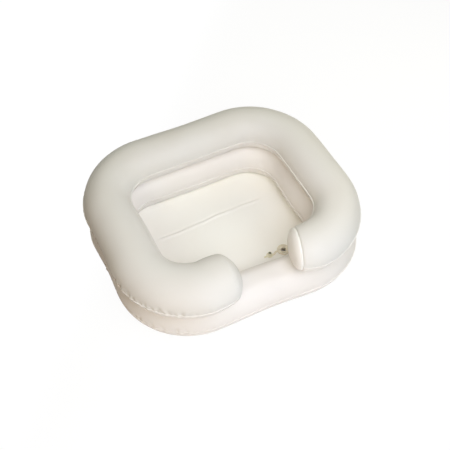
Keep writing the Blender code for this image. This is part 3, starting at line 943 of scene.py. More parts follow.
class AirTube:
    """One air tube: a top film and a bottom film welded along an outer and an inner seam."""

    STATIONS = 1050
    WELD_OPENING = 0.95
    WELD_ANGLE = 0.010
    NEAR_STEP = 0.0021
    FAR_STEP = 0.0058
    NEAR_REACH = 0.030
    TURN_WINDOW = 61
    FREE_MARGIN = 0.01
    PRESSED_FROM = 0.72
    PRESSED_OVER = 0.2
    TUCK_DEPTH = 0.0016
    TUCK_WIDTH = 0.0024
    TUCK_PLATEAU = 1.6
    # Painted shade: how far from the outer weld the tucked attribute's band of painted shade reaches.
    CREVICE_SHADE_WIDTH = 0.0022
    LIP_FOLLOWS = 0.9
    LIP_TUCK = 0.9
    LIP_FLUTTER = 0.5
    LIP_RUN_OUT = 0.018
    LIP_AT_END = 0.2
    WAVE_REACH = 0.006
    ROLLS = 7
    ROLL_WAVES = (5, 19)
    ROLL_TWIST = 1.5
    ROLL_FORCES = (0.3, 1.0)
    ROLL_HEIGHT = 0.00016

    def __init__(self, name: str, sizes: TubeSizes, seed: int) -> None:
        """Lays out the tube.

        Args:
            name: The start of its pieces' names.
            sizes: Its regular shape.
            seed: Seeds the places of its gathers.
        """
        self.name = name
        self.sizes = sizes
        self.line = Centreline(sizes, self.STATIONS)
        turning = self._turning()
        inner_sizes = GatherSizes(
            seed + 1, force=1.0, on_straights=0.3, in_corners=0.7, spacing=0.032, width=0.0050, reach=0.026,
            depth=0.0007, wave=0.0003, bulge=0.3,
        )
        self.outer = Gathers(self.line, GatherSizes(seed, marked=sizes.puckers), turning)
        self.inner = Gathers(self.line, inner_sizes, turning)
        draw = np.random.default_rng(seed + 2)
        self.rolls = [
            (
                draw.integers(*self.ROLL_WAVES), draw.uniform(0.0, FULL_TURN),
                draw.uniform(-self.ROLL_TWIST, self.ROLL_TWIST), draw.uniform(*self.ROLL_FORCES),
            )
            for _ in range(self.ROLLS)
        ]
        self.seats: list[ValveSeat] = []

    def _turning(self) -> Array:
        """How sharply the centreline turns at each station, 1 in the corners.

        Returns:
            The turning at each station, from 0 to 1.
        """
        heading = np.unwrap(np.arctan2(self.line.outward[:, 1], self.line.outward[:, 0]))
        bend = np.gradient(heading, self.line.along) * self.sizes.corner_radius
        kernel = np.hanning(self.TURN_WINDOW)
        padded = np.pad(bend, self.TURN_WINDOW // 2, mode="wrap" if self.line.closed else "edge")
        return np.clip(np.convolve(padded, kernel / kernel.sum(), mode="valid"), 0.0, 1.0)

    def _angles(self) -> Array:
        """Section angles from the outer weld over to the inner one, closer near the welds.

        Returns:
            The angles in radians.
        """
        size = self.sizes.section_half_height
        start = self.WELD_OPENING * (FILM + CLEARANCE) / size + self.WELD_ANGLE
        angles = [start]
        while angles[-1] < QUARTER_TURN:
            share = min(1.0, angles[-1] * size / self.NEAR_REACH)
            step = self.NEAR_STEP + (self.FAR_STEP - self.NEAR_STEP) * share * share
            angles.append(angles[-1] + step / size)
        angles = np.array(angles)
        half = start + (angles - start) * (QUARTER_TURN - start) / (angles[-1] - start)
        return np.concatenate([half, math.pi - half[-2::-1]])

    def _flat(self, side: int) -> float:
        """How high above, or low below, its middle a side of the section is pressed flat."""
        return self.sizes.flat_above if side > 0 else self.sizes.flat_below

    def _crown(self) -> Array:
        """How far the tube rises between the lobes, where nothing presses on it."""
        x, y = self.line.points.T
        return self.sizes.neck_crown * ease(1.0 - np.abs(x) / self.sizes.neck_half_width) * (y < 0.0)

    def section(self, angle: Array, side: int) -> tuple[Array, Array]:
        """The section's outward and upward places at each station and angle.

        Args:
            angle: Angles from the outer weld.
            side: 1 over the top and -1 under the bottom.

        Returns:
            Outward and upward places, one row for each station.
        """
        sizes = self.sizes
        out = self.line.half_width[:, None] * np.cos(angle)
        free = self.line.half_height[:, None] * np.sin(angle)
        if self._flat(side) > sizes.section_half_height + self.FREE_MARGIN:
            return out, free
        limit = self._flat(side) + (side > 0) * self._crown()[:, None]
        soft = sizes.flat_softness
        pressed = np.minimum(free, limit) - soft * np.log1p(np.exp(-np.abs(free - limit) / soft))
        return out, free + (pressed - free) * ease(free / (0.5 * sizes.section_half_height))

    def _rolling(self, angle: Array) -> Array:
        """The slow unevenness of a film under air.

        Args:
            angle: Angles from the outer weld.

        Returns:
            One row for each station.
        """
        turn = FULL_TURN * self.line.along[:, None] / self.line.length
        total = np.zeros((len(turn), len(angle)))
        for waves, phase, twist, force in self.rolls:
            total += force * np.sin(waves * turn + phase + twist * angle)
        return self.ROLL_HEIGHT * total * np.sin(angle)

    def _rows(self, film: Film) -> tuple[Array, Array]:
        """Places one film's points before any valve seat draws on them.

        Args:
            film: The top or the bottom film.

        Returns:
            The points, station after station, and each column's distance from its weld.
        """
        side, line, size = film.value, self.line, self.sizes.section_half_height
        angle = self._angles()
        out, up = self.section(angle, side)
        from_outer = (angle - angle[0]) * size
        from_inner = from_outer[::-1]
        flat, tucked = self._flat(side), self._tucked()[:, None]
        pressed = (up - self.PRESSED_FROM * flat) / (self.PRESSED_OVER * flat)
        free = 1.0 - ease(pressed) if flat < size else 1.0
        groove = self.TUCK_DEPTH * tucked * np.exp(-((from_outer / self.TUCK_WIDTH) ** 2))
        drawn_outer = self.outer.creases(from_outer) + groove
        drawn_inner = self.inner.creases(from_inner)
        inward = (drawn_outer + drawn_inner - self._rolling(angle)) * free + self._pinched()[:, None]
        out = out - inward * np.cos(angle)
        up = up - inward * np.sin(angle)
        wave_outer, wave_inner = self.outer.wave()[:, None], self.inner.wave()[:, None]
        lift = (
            wave_outer * np.exp(-from_outer / self.WAVE_REACH)
            + wave_inner * np.exp(-from_inner / self.WAVE_REACH)
        )
        lip = np.array(LIP_SHARES)
        reach = lip * self._lip_share()[:, None]
        half = line.half_width[:, None]
        outer_reach = reach * (1.0 - self.LIP_TUCK * tucked)
        outer_lip = half - self.LIP_FOLLOWS * drawn_outer[:, :1] + outer_reach * OUTER_LIP
        inner_lip = half - self.LIP_FOLLOWS * drawn_inner[:, -1:] + reach * INNER_LIP
        level = np.full_like(reach, CLEARANCE / 2 + FILM)
        flutter = 1.0 + self.LIP_FLUTTER * lip
        out = np.concatenate([outer_lip, out, -inner_lip[:, ::-1]], axis=1)
        up = np.concatenate([level, up, level], axis=1)
        lift = np.concatenate([wave_outer * flutter, lift, wave_inner * flutter[::-1]], axis=1)
        plan = line.points[:, None, :] + line.outward[:, None, :] * out[:, :, None]
        rows = np.dstack([plan, self.sizes.centre_height + side * up + lift])
        near = np.minimum(from_outer, from_inner)
        return rows, np.concatenate([-lip * OUTER_LIP, near, -lip[::-1] * INNER_LIP])

    def _pinched(self) -> Array:
        """How far the film is drawn in at each station by the welds of the end panels."""
        ends = self.line.from_ends(self.line.along)
        return sum((end.pinched(distance) for end, distance in ends), np.zeros(self.STATIONS))

    def _lip_share(self) -> Array:
        """How much of the weld's lip each station has, less where it runs out at an end.

        Returns:
            The share at each station.
        """
        share = np.ones(self.STATIONS)
        for _, distance in self.line.from_ends(self.line.along):
            share *= self.LIP_AT_END + (1.0 - self.LIP_AT_END) * ease(distance / self.LIP_RUN_OUT)
        return share

    def _tucked(self) -> Array:
        """How far the outer weld is tucked in between the swollen films at each station."""
        away = degrees_apart(bearing_of(self.line.points), self.sizes.tucked)
        return ease(self.TUCK_PLATEAU - away / self.sizes.tucked_reach)

    def seat_valve(self, place: Matrix, film: Film) -> None:
        """Makes room for a valve's flange, at a place whose Z points out of the film."""
        rows, _ = self._rows(film)
        self.seats.append(ValveSeat(place, film, ValveSeat.gap_at(place, rows)))

    def film(self, film: Film, material: Material) -> Object:
        """Makes one film of the tube.

        Args:
            film: The top or the bottom film.
            material: Its material.

        Returns:
            The finished film.
        """
        rows, from_seam = self._rows(film)
        for seat in self.seats:
            seat.press(rows)
        side = film.name.lower()
        obj = grid_sheet(f"{self.name}_{side}_film", rows)
        across = len(from_seam)
        # Painted shade: the tucked attribute marks the band beside a tucked outer weld that the material
        # darkens as if in shade.
        crevice_shade_mask = np.exp(-((from_seam / self.CREVICE_SHADE_WIDTH) ** 2)) * (np.arange(across) < across // 2)
        paint(obj, "along", np.repeat(self.line.along, across))
        paint(obj, "from_seam", np.tile(from_seam, self.STATIONS))
        paint(obj, "tucked", self._tucked()[:, None] * crevice_shade_mask)
        if self.line.closed:
            merge_doubles(obj)
        face_up(obj, film.value)
        for seat in self.seats:
            if seat.film is film:
                bore(obj, seat.place, seat.hole_radius)
        finish_film(obj, (f"{self.name}_{side}_sheet",), material)
        return obj


def moved(points: Array, place: Matrix) -> Array:
    """Points carried by a place."""
    moves = np.array(place)
    return points @ moves[:3, :3].T + moves[:3, 3]


@dataclass(frozen=True)
class ValveSeat:
    """The flat place in a film where a valve's flange is welded."""

    place: Matrix
    film: Film
    gap: float
    hole_radius: float = 0.0054
    flat_radius: float = 0.0112
    flat_reach: float = 0.0230
    spread: float = 0.0380
    depth: float = 0.0450
    depth_reach: float = 0.015

    NEAREST = 6

    @staticmethod
    def gap_at(place: Matrix, rows: Array) -> float:
        """How far out of the seat's plane the film is at the valve's middle.

        Args:
            place: The valve's place.
            rows: The film's points.

        Returns:
            The gap, below zero where the film lies behind the seat.
        """
        local = moved(rows, place.inverted())
        nearest = np.argsort(np.linalg.norm(local, axis=-1), axis=None)[:ValveSeat.NEAREST]
        return float(local[..., 2].ravel()[nearest].mean())

    def press(self, rows: Array) -> None:
        """Draws the film's points out to the seat and flattens them under the flange.

        Args:
            rows: The film's points, changed in place.
        """
        local = moved(rows, self.place.inverted())
        away = np.hypot(local[..., 0], local[..., 1])
        this_side = ease((local[..., 2] + self.depth) / self.depth_reach)
        local[..., 2] -= self.gap * np.exp(-((away / self.spread) ** 2)) * this_side
        share = 1.0 - ease((away - self.flat_radius) / (self.flat_reach - self.flat_radius))
        local[..., 2] *= 1.0 - share * this_side
        rows[...] = moved(local, self.place)


class EndPanel:
    """The domed film panel that closes one end of the upper tube."""

    AROUND = 160
    SKIRT = 0.012
    SKIRT_ROWS = 4
    DOME_ROWS = 30
    ROW_CROWDING = 1.15
    GATHERS = 15
    GATHER_DEPTH = 0.0007
    GATHER_REACH = 0.010
    GATHER_FORCES = (0.4, 1.0)
    GATHER_WIDTHS = (0.05, 0.09)
    GRAIN_RADIUS = 0.05
    GRAIN_DEPTH = 0.04
    GRAIN_START = 0.002

    def __init__(self, name: str, tube: AirTube, index: int, seed: int) -> None:
        """Finds the tube's end.

        Args:
            name: The start of the names of the piece and its CAD node.
            tube: The upper tube.
            index: 0 for the end at its first station and -1 for the one at its last.
            seed: Seeds the panel's gathers.
        """
        self.name = name
        self.tube = tube
        self.end = tube.sizes.ends[index]
        self.index = index
        self.around = np.linspace(0.0, FULL_TURN, self.AROUND + 1)
        self.draw = np.random.default_rng(seed)

    def _ring(self) -> tuple[Array, Array]:
        """The tube's whole section at its end, inside its films.

        Returns:
            The outward and the upward place of each point round it.
        """
        top = self.around <= math.pi
        out_top, up_top = self.tube.section(self.around[top], 1)
        out_low, up_low = self.tube.section(FULL_TURN - self.around[~top], -1)
        out = np.concatenate([out_top[self.index], out_low[self.index]])
        return out, np.concatenate([up_top[self.index], -up_low[self.index]])

    def _profile(self) -> Array:
        """Lays out the panel's rows, from its skirt in the tube to the middle of its dome.

        Returns:
            Each row's share of the section, its reach and its distance from the weld.
        """
        end = self.end
        inside = 1.0 - (FILM + CLEARANCE) / self.tube.line.half_width[self.index]
        skirt = self.SKIRT * (1.0 - np.arange(self.SKIRT_ROWS) / self.SKIRT_ROWS)
        turn = QUARTER_TURN * (np.arange(self.DOME_ROWS + 1) / self.DOME_ROWS) ** self.ROW_CROWDING
        dome = end.dome_depth * ((1.0 - end.flatness) * np.sin(turn) + end.flatness * np.sin(turn) ** 2)
        share = np.concatenate([np.full(self.SKIRT_ROWS, inside), inside * np.cos(turn)])
        from_seam = np.concatenate([skirt, dome + (1.0 - np.cos(turn)) * self.GRAIN_DEPTH])
        return np.stack([share, np.concatenate([-skirt, dome]), from_seam], axis=1)

    def _creases(self) -> Array:
        """How far the panel's gathers draw it in round the weld.

        Returns:
            The draw at each point round it.
        """
        total = np.zeros(self.AROUND + 1)
        for _ in range(self.GATHERS):
            place = self.draw.uniform(0.0, FULL_TURN)
            force = self.draw.uniform(*self.GATHER_FORCES)
            width = self.draw.uniform(*self.GATHER_WIDTHS)
            apart = (self.around - place + math.pi) % FULL_TURN - math.pi
            total += force * np.exp(-((apart / width) ** 2))
        return total * self.GATHER_DEPTH

    def build(self, material: Material) -> Object:
        """Makes the panel.

        Args:
            material: Its material.

        Returns:
            The finished panel.
        """
        line = self.tube.line
        out, up = self._ring()
        centre = np.append(line.points[self.index], self.tube.sizes.centre_height)
        outward = np.append(line.outward[self.index], 0.0)
        ahead = np.array([outward[1], -outward[0], 0.0]) * (1.0 if self.index == 0 else -1.0)
        profile, creases = self._profile(), self._creases()
        points = []
        for share, reach, _ in profile:
            crease = creases * math.exp(-((reach / self.GATHER_REACH) ** 2)) * (reach > 0.0)
            factor = share * (1.0 - (self.end.pinched(reach) + crease) / np.hypot(out, up))
            points.append(centre + ahead * reach + outward * (out * factor)[:, None])
            points[-1][:, 2] += up * factor
        obj = grid_sheet(f"{self.name}_panel", np.array(points))
        paint(obj, "along", np.tile(self.around * self.GRAIN_RADIUS, len(profile)))
        paint(obj, "from_seam", np.repeat(profile[:, 2] + self.GRAIN_START, self.AROUND + 1))
        merge_doubles(obj)
        edit_whole(obj, bpy.ops.mesh.normals_make_consistent, inside=False)
        finish_film(obj, (f"{self.name}_cap",), material)
        return obj


# Floor film


@dataclass(frozen=True)
class Wave:
    """A sine over the floor's plan, with its paces along X and Y in radians a metre."""

    height: float
    pace_x: float
    pace_y: float = 0.0
    phase: float = 0.0

    def at(self, x: Array, y: Array) -> Array:
        """The wave's height at each point."""
        return self.height * np.sin(x * self.pace_x + y * self.pace_y + self.phase)


@dataclass(frozen=True)
class FloorSizes:
    """The floor film, its packing fold and its weld."""

    height: float = 0.0122
    weld_drop: float = 0.0060
    cells: int = 168
    weld_rows: int = 3
    fold_y: float = 0.0595
    fold_slant: float = 0.035
    fold_from: float = -0.155
    fold_to: float = 0.158
    fold_fade: float = 0.040
    fold_height: float = 0.0019
    fold_width: float = 0.0032
    fold_share: float = 0.8
    fold_swing: Wave = Wave(0.2, 47.0, phase=1.0)
    wander: tuple[Wave, ...] = (Wave(0.0012, 31.0, phase=0.6), Wave(0.0006, 83.0))
    valley_depth: float = 0.0009
    valley_beside: float = 0.0062
    valley_width: float = 0.0036
    waves: tuple[Wave, ...] = (
        Wave(0.000225, 23.0, 9.0, 0.4), Wave(0.000225, -6.0, 31.0, 2.0), Wave(0.000135, 51.0, -37.0)
    )
    calm_from: float = 0.022
    calm_over: float = 0.03
    edge_calm: float = 0.012
    hole_radius: float = 0.0070
    grain_radius: float = 0.2
    grain_start: float = 0.0008
    weld_grain: float = 0.004


class FloorFilm:
    """The floor: a film stretched inside the lower tube and welded to its underside."""

    def __init__(self, sizes: FloorSizes, tube: AirTube, drain: Vector) -> None:
        """Keeps what the floor is made from.

        Args:
            sizes: Its sizes.
            tube: The lower tube, which carries it.
            drain: The drain's place.
        """
        self.sizes = sizes
        self.tube = tube
        self.drain = drain
        self.half_height = tube.sizes.section_half_height + CLEARANCE

    def _turn(self, drop: float) -> float:
        """How far round the tube's underside the floor touches it, once it has dropped so far."""
        return math.asin((self.tube.sizes.centre_height - self.sizes.height + drop) / self.half_height)

    def _edge(self, drop: float) -> Array:
        """Where the floor touches the lower tube's underside.

        Args:
            drop: How far the floor has dropped below the height of its middle.

        Returns:
            The touching points, one for each point of the tube's line.
        """
        line = self.tube.line
        across = (line.half_width + CLEARANCE) * math.cos(self._turn(drop))
        return line.points - line.outward * across[:, None]

    @staticmethod
    def _reach(edge: Array, bearing: Array) -> Array:
        """How far an edge is from the middle at each bearing.

        Args:
            edge: The edge's points.
            bearing: Bearings in radians.

        Returns:
            The distance at each bearing.
        """
        angle = np.arctan2(edge[:, 1], edge[:, 0])
        order = np.argsort(angle)
        return np.interp(bearing, angle[order], np.hypot(*edge[order].T), period=FULL_TURN)

    def _rise(self, x: Array, y: Array) -> Array:
        """The film's unevenness: the fold it was packed with and slow waves.

        Args:
            x: Each point's X.
            y: Each point's Y.

        Returns:
            How far each point rises.
        """
        sizes = self.sizes
        beside = y - sizes.fold_y - sizes.fold_slant * x - sum(wave.at(x, y) for wave in sizes.wander)
        inside = ease((x - sizes.fold_from) / sizes.fold_fade) * ease((sizes.fold_to - x) / sizes.fold_fade)
        fold = sizes.fold_height * np.exp(-((beside / sizes.fold_width) ** 2))
        fold -= sizes.valley_depth * np.exp(-(((beside - sizes.valley_beside) / sizes.valley_width) ** 2))
        fold *= inside * (sizes.fold_share + sizes.fold_swing.at(x, y))
        from_drain = np.hypot(x - self.drain.x, y - self.drain.y)
        calm = ease((from_drain - sizes.calm_from) / sizes.calm_over)
        return (fold + sum(wave.at(x, y) for wave in sizes.waves)) * calm

    def _turned_down(self, weld: Array) -> Array:
        """How far down the weld band has gone, as it hugs the tube's underside.

        Args:
            weld: How far out over the weld band each point is, from 0 to 1.

        Returns:
            How far each point lies under the floor.
        """
        start, end = self._turn(0.0), self._turn(self.sizes.weld_drop)
        across = math.cos(start) - (math.cos(start) - math.cos(end)) * weld
        return self.half_height * (np.sin(np.arccos(across)) - math.sin(start))

    def build(self, material: Material) -> Object:
        """Makes the floor film.

        Args:
            material: Its material.

        Returns:
            The finished film.
        """
        sizes = self.sizes
        edge, low_edge = self._edge(0.0), self._edge(sizes.weld_drop)
        u, v = np.meshgrid(*[np.linspace(-1.0, 1.0, sizes.cells + 1)] * 2)
        ring = np.maximum(np.abs(u), np.abs(v))
        band = 1.0 - 2.0 * sizes.weld_rows / sizes.cells
        half_x, half_y = np.abs(edge).max(axis=0)
        bearing = np.arctan2(v * half_y, u * half_x)
        flat_reach, low_reach = self._reach(edge, bearing), self._reach(low_edge, bearing)
        inner = np.clip(ring / band, 0.0, 1.0)
        weld = np.clip((ring - band) / (1.0 - band), 0.0, 1.0)
        reach = flat_reach * inner + (low_reach - flat_reach) * weld
        x, y = reach * np.cos(bearing), reach * np.sin(bearing)
        inside = (1.0 - inner) * min(half_x, half_y)
        z = sizes.height + self._rise(x, y) * ease(inside / sizes.edge_calm) - self._turned_down(weld)
        obj = grid_sheet("floor_film", np.stack([x, y, z], axis=-1))
        from_seam = np.where(weld > 0.0, -sizes.weld_grain * weld, inside) + sizes.grain_start
        paint(obj, "along", bearing * sizes.grain_radius)
        paint(obj, "from_seam", from_seam)
        face_up(obj, 1.0)
        bore(obj, Matrix.Translation(self.drain), sizes.hole_radius)
        finish_film(obj, ("floor_sheet", "floor_weld_band"), material)
        return obj


# Fittings


Profile = list[tuple[float, float]]


def turned(name: str, profile: Profile, solid: bool = False) -> Object:
    """Turns a profile about Z, as a ring that is extruded and resized from one height to the next.

    Args:
        name: The piece's name.
        profile: Radii and heights in order round the section.
        solid: Whether the piece is closed by its first and last flat faces, not by a loop.

    Returns:
        The turned piece about the origin.
    """
    deselect_all()
    radius, height = profile[0]
    bpy.ops.mesh.primitive_circle_add(
        vertices=TURNED_SIDES, radius=radius, location=(0.0, 0.0, height),
        fill_type="NGON" if solid else "NOTHING",
    )
    obj = named(name)
    bpy.ops.object.transform_apply(location=True)
    bpy.ops.object.mode_set(mode="EDIT")
    bpy.ops.mesh.select_all(action="SELECT")
    for next_radius, next_height in profile[1:] + ([] if solid else profile[:1]):
        bpy.ops.mesh.extrude_region_move(
            TRANSFORM_OT_translate={"value": (0.0, 0.0, next_height - height)}
        )
        size = next_radius / radius
        bpy.ops.transform.resize(value=(size, size, 1.0), center_override=(0.0, 0.0, next_height))
        radius, height = next_radius, next_height
    merge_doubles(obj)
    edit_whole(obj, bpy.ops.mesh.normals_make_consistent, inside=False)
    return obj


def soften(obj: Object, width: float) -> None:
    """Rounds a moulded piece's sharp edges and shades it smooth between them.

    Args:
        obj: The piece.
        width: The width of the rounding.
    """
    limit = math.radians(BEVEL_DEGREES)
    apply_modifier(obj, "BEVEL", width=width, segments=2, limit_method="ANGLE", angle_limit=limit)
    smooth(obj, SHARP_DEGREES)


def shade_inside(obj: Object, radius: float, top: float) -> None:
    """Marks a turned piece's bore, which light hardly reaches.

    Args:
        obj: The piece about the origin.
        radius: The bore's radius.
        top: The height of the bore's mouth.
    """
    x, y, z = np.array([vert.co for vert in obj.data.vertices]).T
    within = np.hypot(x, y) < radius + SHADE_MARGIN
    paint(obj, "inside", within * ease((top - SHADE_MARGIN - z) / SHADE_REACH))


def block(
    low: tuple[float, ...], high: tuple[float, ...], narrowing: float = 1.0, towards: float = 1.0
) -> Object:
    """Adds a flat tab whose far end is narrower.

    Args:
        low: Its lowest corner.
        high: Its highest corner.
        narrowing: The far end's width as a share of the near end's.
        towards: The sign of X at its far end.

    Returns:
        The tab.
    """
    deselect_all()
    low, high = Vector(low), Vector(high)
    middle = (low + high) / 2
    bpy.ops.mesh.primitive_cube_add(size=1.0, location=middle, scale=high - low)
    obj = bpy.context.active_object
    bpy.ops.object.transform_apply(location=True, rotation=True, scale=True)
    for vert in obj.data.vertices:
        vert.select = (vert.co.x - middle.x) * towards > 0.0
    for part in (*obj.data.edges, *obj.data.polygons):
        part.select = all(obj.data.vertices[index].select for index in part.vertices)
    bpy.ops.object.mode_set(mode="EDIT")
    bpy.ops.transform.resize(value=(1.0, narrowing, 1.0), center_override=middle)
    bpy.ops.object.mode_set(mode="OBJECT")
    return obj


def joined(first: Object, *others: Object) -> None:
    """Joins pieces into one.

    Args:
        first: The piece that takes in the others.
        others: The pieces that it takes in.
    """
    choose(first)
    for obj in others:
        obj.select_set(True)
    bpy.ops.object.join()


def strap(name: str, path: Array, width: float, thickness: float) -> Object:
    """Lays a flat strap along a path.

    Args:
        name: The piece's name.
        path: Points that the strap's middle passes through.
        width: The strap's width, level across the path.
        thickness: The strap's thickness.

    Returns:
        The strap.
    """
    side = np.array((0.0, 1.0, 0.0))
    if np.ptp(path[:, 1]) > 0.0:
        turn = np.gradient(path, axis=0)
        side = np.stack([-turn[:, 1], turn[:, 0], np.zeros(len(path))], axis=1)
        side = (side / np.linalg.norm(side, axis=1)[:, None])[:, None, :]
    across = np.linspace(-0.5, 0.5, STRAP_COLUMNS)[None, :, None] * width
    obj = grid_sheet(name, path[:, None, :] + across * side)
    apply_modifier(obj, "SOLIDIFY", thickness=thickness, offset=0.0, use_even_offset=True)
    soften(obj, thickness * STRAP_ROUNDING)
    return obj


def finish_fitting(obj: Object, place: Matrix, finish: Dressing, body: str, node: str) -> None:
    """Puts a fitting in its place and hands it over.

    Args:
        obj: The fitting, modelled about the origin.
        place: Its place on the basin.
        finish: Its material and slot.
        body: The body that it rides on.
        node: The CAD node that it stands for.
    """
    apply_place(obj, place)
    dress(obj, finish)
    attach(obj, body)
    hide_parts(node)


def finish_strap(obj: Object, place: Matrix, finish: Dressing, node: str) -> None:
    """Puts a strap in its place, gives it its material and hides the CAD nodes that it stands for.

    Args:
        obj: The strap, modelled about the origin.
        place: Its place on the basin.
        finish: Its material and slot.
        node: The start of the names of the two CAD nodes that it stands for.
    """
    apply_place(obj, place)
    dress(obj, finish)
    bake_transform(obj)
    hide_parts(f"{node}_root", f"{node}_tip")


@dataclass(frozen=True)
class DrainSizes:
    """The drain's flange, collar, stopper, strap and spigot."""

    bore: float = 0.0060
    flange: float = 0.0160
    flange_top: float = 0.0024
    bead: float = 0.0011
    bead_rise: float = 0.0011
    bead_turn: float = 0.4
    bead_foot: float = 2.2
    crest_start: float = 0.5
    crest_end: float = 1.3
    collar: float = 0.0088
    collar_top: float = 0.0024
    collar_turn: float = 0.3
    stopper_distance: float = 0.0385
    head: float = 0.0080
    head_top: float = 0.0023
    nipple: float = 0.0054
    nipple_round: float = 0.0008
    nipple_tip: float = 0.0043
    nipple_wall: float = 0.0009
    nipple_top: float = 0.0113
    nipple_lip: float = 0.0006
    nipple_edge: float = 0.0001
    nipple_fillet: float = 0.0006
    tab: float = 0.0075
    tab_width: float = 0.0050
    tab_top: float = 0.0015
    tab_narrowing: float = 0.78
    grips: int = 3
    grip_start: float = 0.0012
    grip_pitch: float = 0.0016
    grip_rise: float = 0.0004
    grip_share: float = 0.36
    strap_width: float = 0.0052
    strap_thickness: float = 0.0011
    strap_middle: float = 0.0010
    strap_sway: float = 0.0046
    strap_arch: float = 0.0012
    strap_hold: float = 0.0006
    strap_straight: float = 0.12
    strap_points: int = 33
    spigot_flange: float = 0.0130
    spigot_ledge: float = -0.00185
    spigot_wall: float = 0.0015
    spigot_end: float = -0.01015
    barb: float = 0.0010
    barb_slope: float = 2.0
    barb_crest: float = 2.4
    barb_length: float = 3.0
    edge: float = 0.00022


class DrainFittings:
    """The drain in the floor with its stopper lying open beside it on a strap."""

    def __init__(
        self, sizes: DrainSizes, centre: Vector, finish: Dressing, stopper_finish: Dressing
    ) -> None:
        """Keeps what the drain is made from.

        Args:
            sizes: Its sizes.
            centre: Its place on the floor.
            finish: Its finish.
            stopper_finish: Its stopper's finish.
        """
        self.sizes = sizes
        self.place = Matrix.Translation(centre)
        self.finish = finish
        self.stopper_finish = stopper_finish

    def build(self) -> None:
        """Builds the flange, the spigot, the stopper and the strap."""
        size = self.sizes
        self._ring("drain_flange", "ring", self._flange_profile(), size.collar_top)
        self._ring("drain_spigot", "barb", self._spigot_profile(), -FILM - CLEARANCE)
        self._stopper()
        self._strap()

    def _ring(self, node: str, ending: str, profile: Profile, top: float) -> None:
        """Turns one of the rings round the bore.

        Args:
            node: The CAD node that it stands for.
            ending: What its name has after the node's.
            profile: Its profile.
            top: The height of the bore's mouth.
        """
        obj = turned(f"{node}_{ending}", profile)
        soften(obj, self.sizes.edge)
        shade_inside(obj, self.sizes.bore, top)
        finish_fitting(obj, self.place, self.finish, "basin", node)

    def _flange_profile(self) -> Profile:
        """The flange that is welded to the floor, with a bead round its edge and a collar.

        Returns:
            Its profile.
        """
        size = self.sizes
        top, seat, bead = size.flange_top, size.collar_top, size.bead
        turn = size.bead_turn * bead
        return [
            (size.bore, CLEARANCE), (size.flange, CLEARANCE), (size.flange, top - turn),
            (size.flange - size.crest_start * bead, top), (size.flange - size.crest_end * bead, top),
            (size.flange - size.bead_foot * bead, top - size.bead_rise),
            (size.collar + bead, top - size.bead_rise), (size.collar, seat - turn),
            (size.collar - size.collar_turn * bead, seat), (size.bore + turn, seat),
            (size.bore, seat - turn),
        ]

    def _spigot_profile(self) -> Profile:
        """The barbed spigot under the floor that a hose is pushed on to.

        Returns:
            Its profile.
        """
        size = self.sizes
        under, tube, barb, end = -FILM - CLEARANCE, size.bore + size.spigot_wall, size.barb, size.spigot_end
        return [
            (size.bore, under), (size.spigot_flange, under), (size.spigot_flange, size.spigot_ledge),
            (tube + barb, size.spigot_ledge), (tube, size.spigot_ledge - barb),
            (tube, end + size.barb_length * barb), (tube + barb, end + size.barb_crest * barb),
            (tube + barb, end + size.barb_slope * barb), (tube, end), (size.bore, end),
        ]

    def _stopper(self) -> None:
        """The stopper: a hollow nipple on a round head, with a grip tab."""
        size = self.sizes
        inside, tip = size.nipple - size.nipple_wall, size.nipple_tip
        top, edge = size.nipple_top, size.nipple_edge
        obj = turned("stopper_nipple", [
            (size.head, CLEARANCE), (size.head, size.head_top),
            (size.nipple + size.nipple_round, size.head_top),
            (size.nipple, size.head_top + size.nipple_round),
            (tip + edge, top - size.nipple_lip), (tip - 2 * edge, top),
            (tip - size.nipple_wall + 2 * edge, top), (tip - size.nipple_wall, top - 3 * edge),
            (inside, size.head_top + size.nipple_fillet), (inside - size.nipple_fillet, size.head_top),
        ], solid=True)
        soften(obj, size.edge)
        shade_inside(obj, inside, top)
        start, half = -size.head - size.tab, size.tab_width / 2
        grip = size.grip_share * size.tab_width
        tab = block(
            (start, -half, CLEARANCE), (half - size.head, half, size.tab_top), size.tab_narrowing, -1.0
        )
        nears = [start + size.grip_start + index * size.grip_pitch for index in range(size.grips)]
        joined(tab, *(
            block(
                (near, -grip, size.tab_top - size.grip_rise),
                (near + size.grip_pitch / 2, grip, size.tab_top + size.grip_rise),
            )
            for near in nears
        ))
        soften(tab, size.edge)
        joined(obj, tab)
        place = self.place @ Matrix.Translation((-size.stopper_distance, 0.0, 0.0))
        finish_fitting(obj, place, self.stopper_finish, "drain_stopper", "drain_stopper")

    def _strap(self) -> None:
        """The strap, which lies in a slack S between the flange and the stopper."""
        size = self.sizes
        share = np.linspace(0.0, 1.0, size.strap_points)
        right = -size.flange + size.strap_hold
        left = -size.stopper_distance + size.head - size.strap_hold
        bend = ease((share - size.strap_straight) / (1.0 - 2.0 * size.strap_straight))
        path = np.stack([
            right + (left - right) * share,
            size.strap_sway * (0.5 - bend),
            size.strap_middle + size.strap_arch * np.sin(math.pi * share) ** 2,
        ], axis=1)
        obj = strap("stopper_strap", path, size.strap_width, size.strap_thickness)
        finish_strap(obj, self.place, self.finish, "drain_strap")


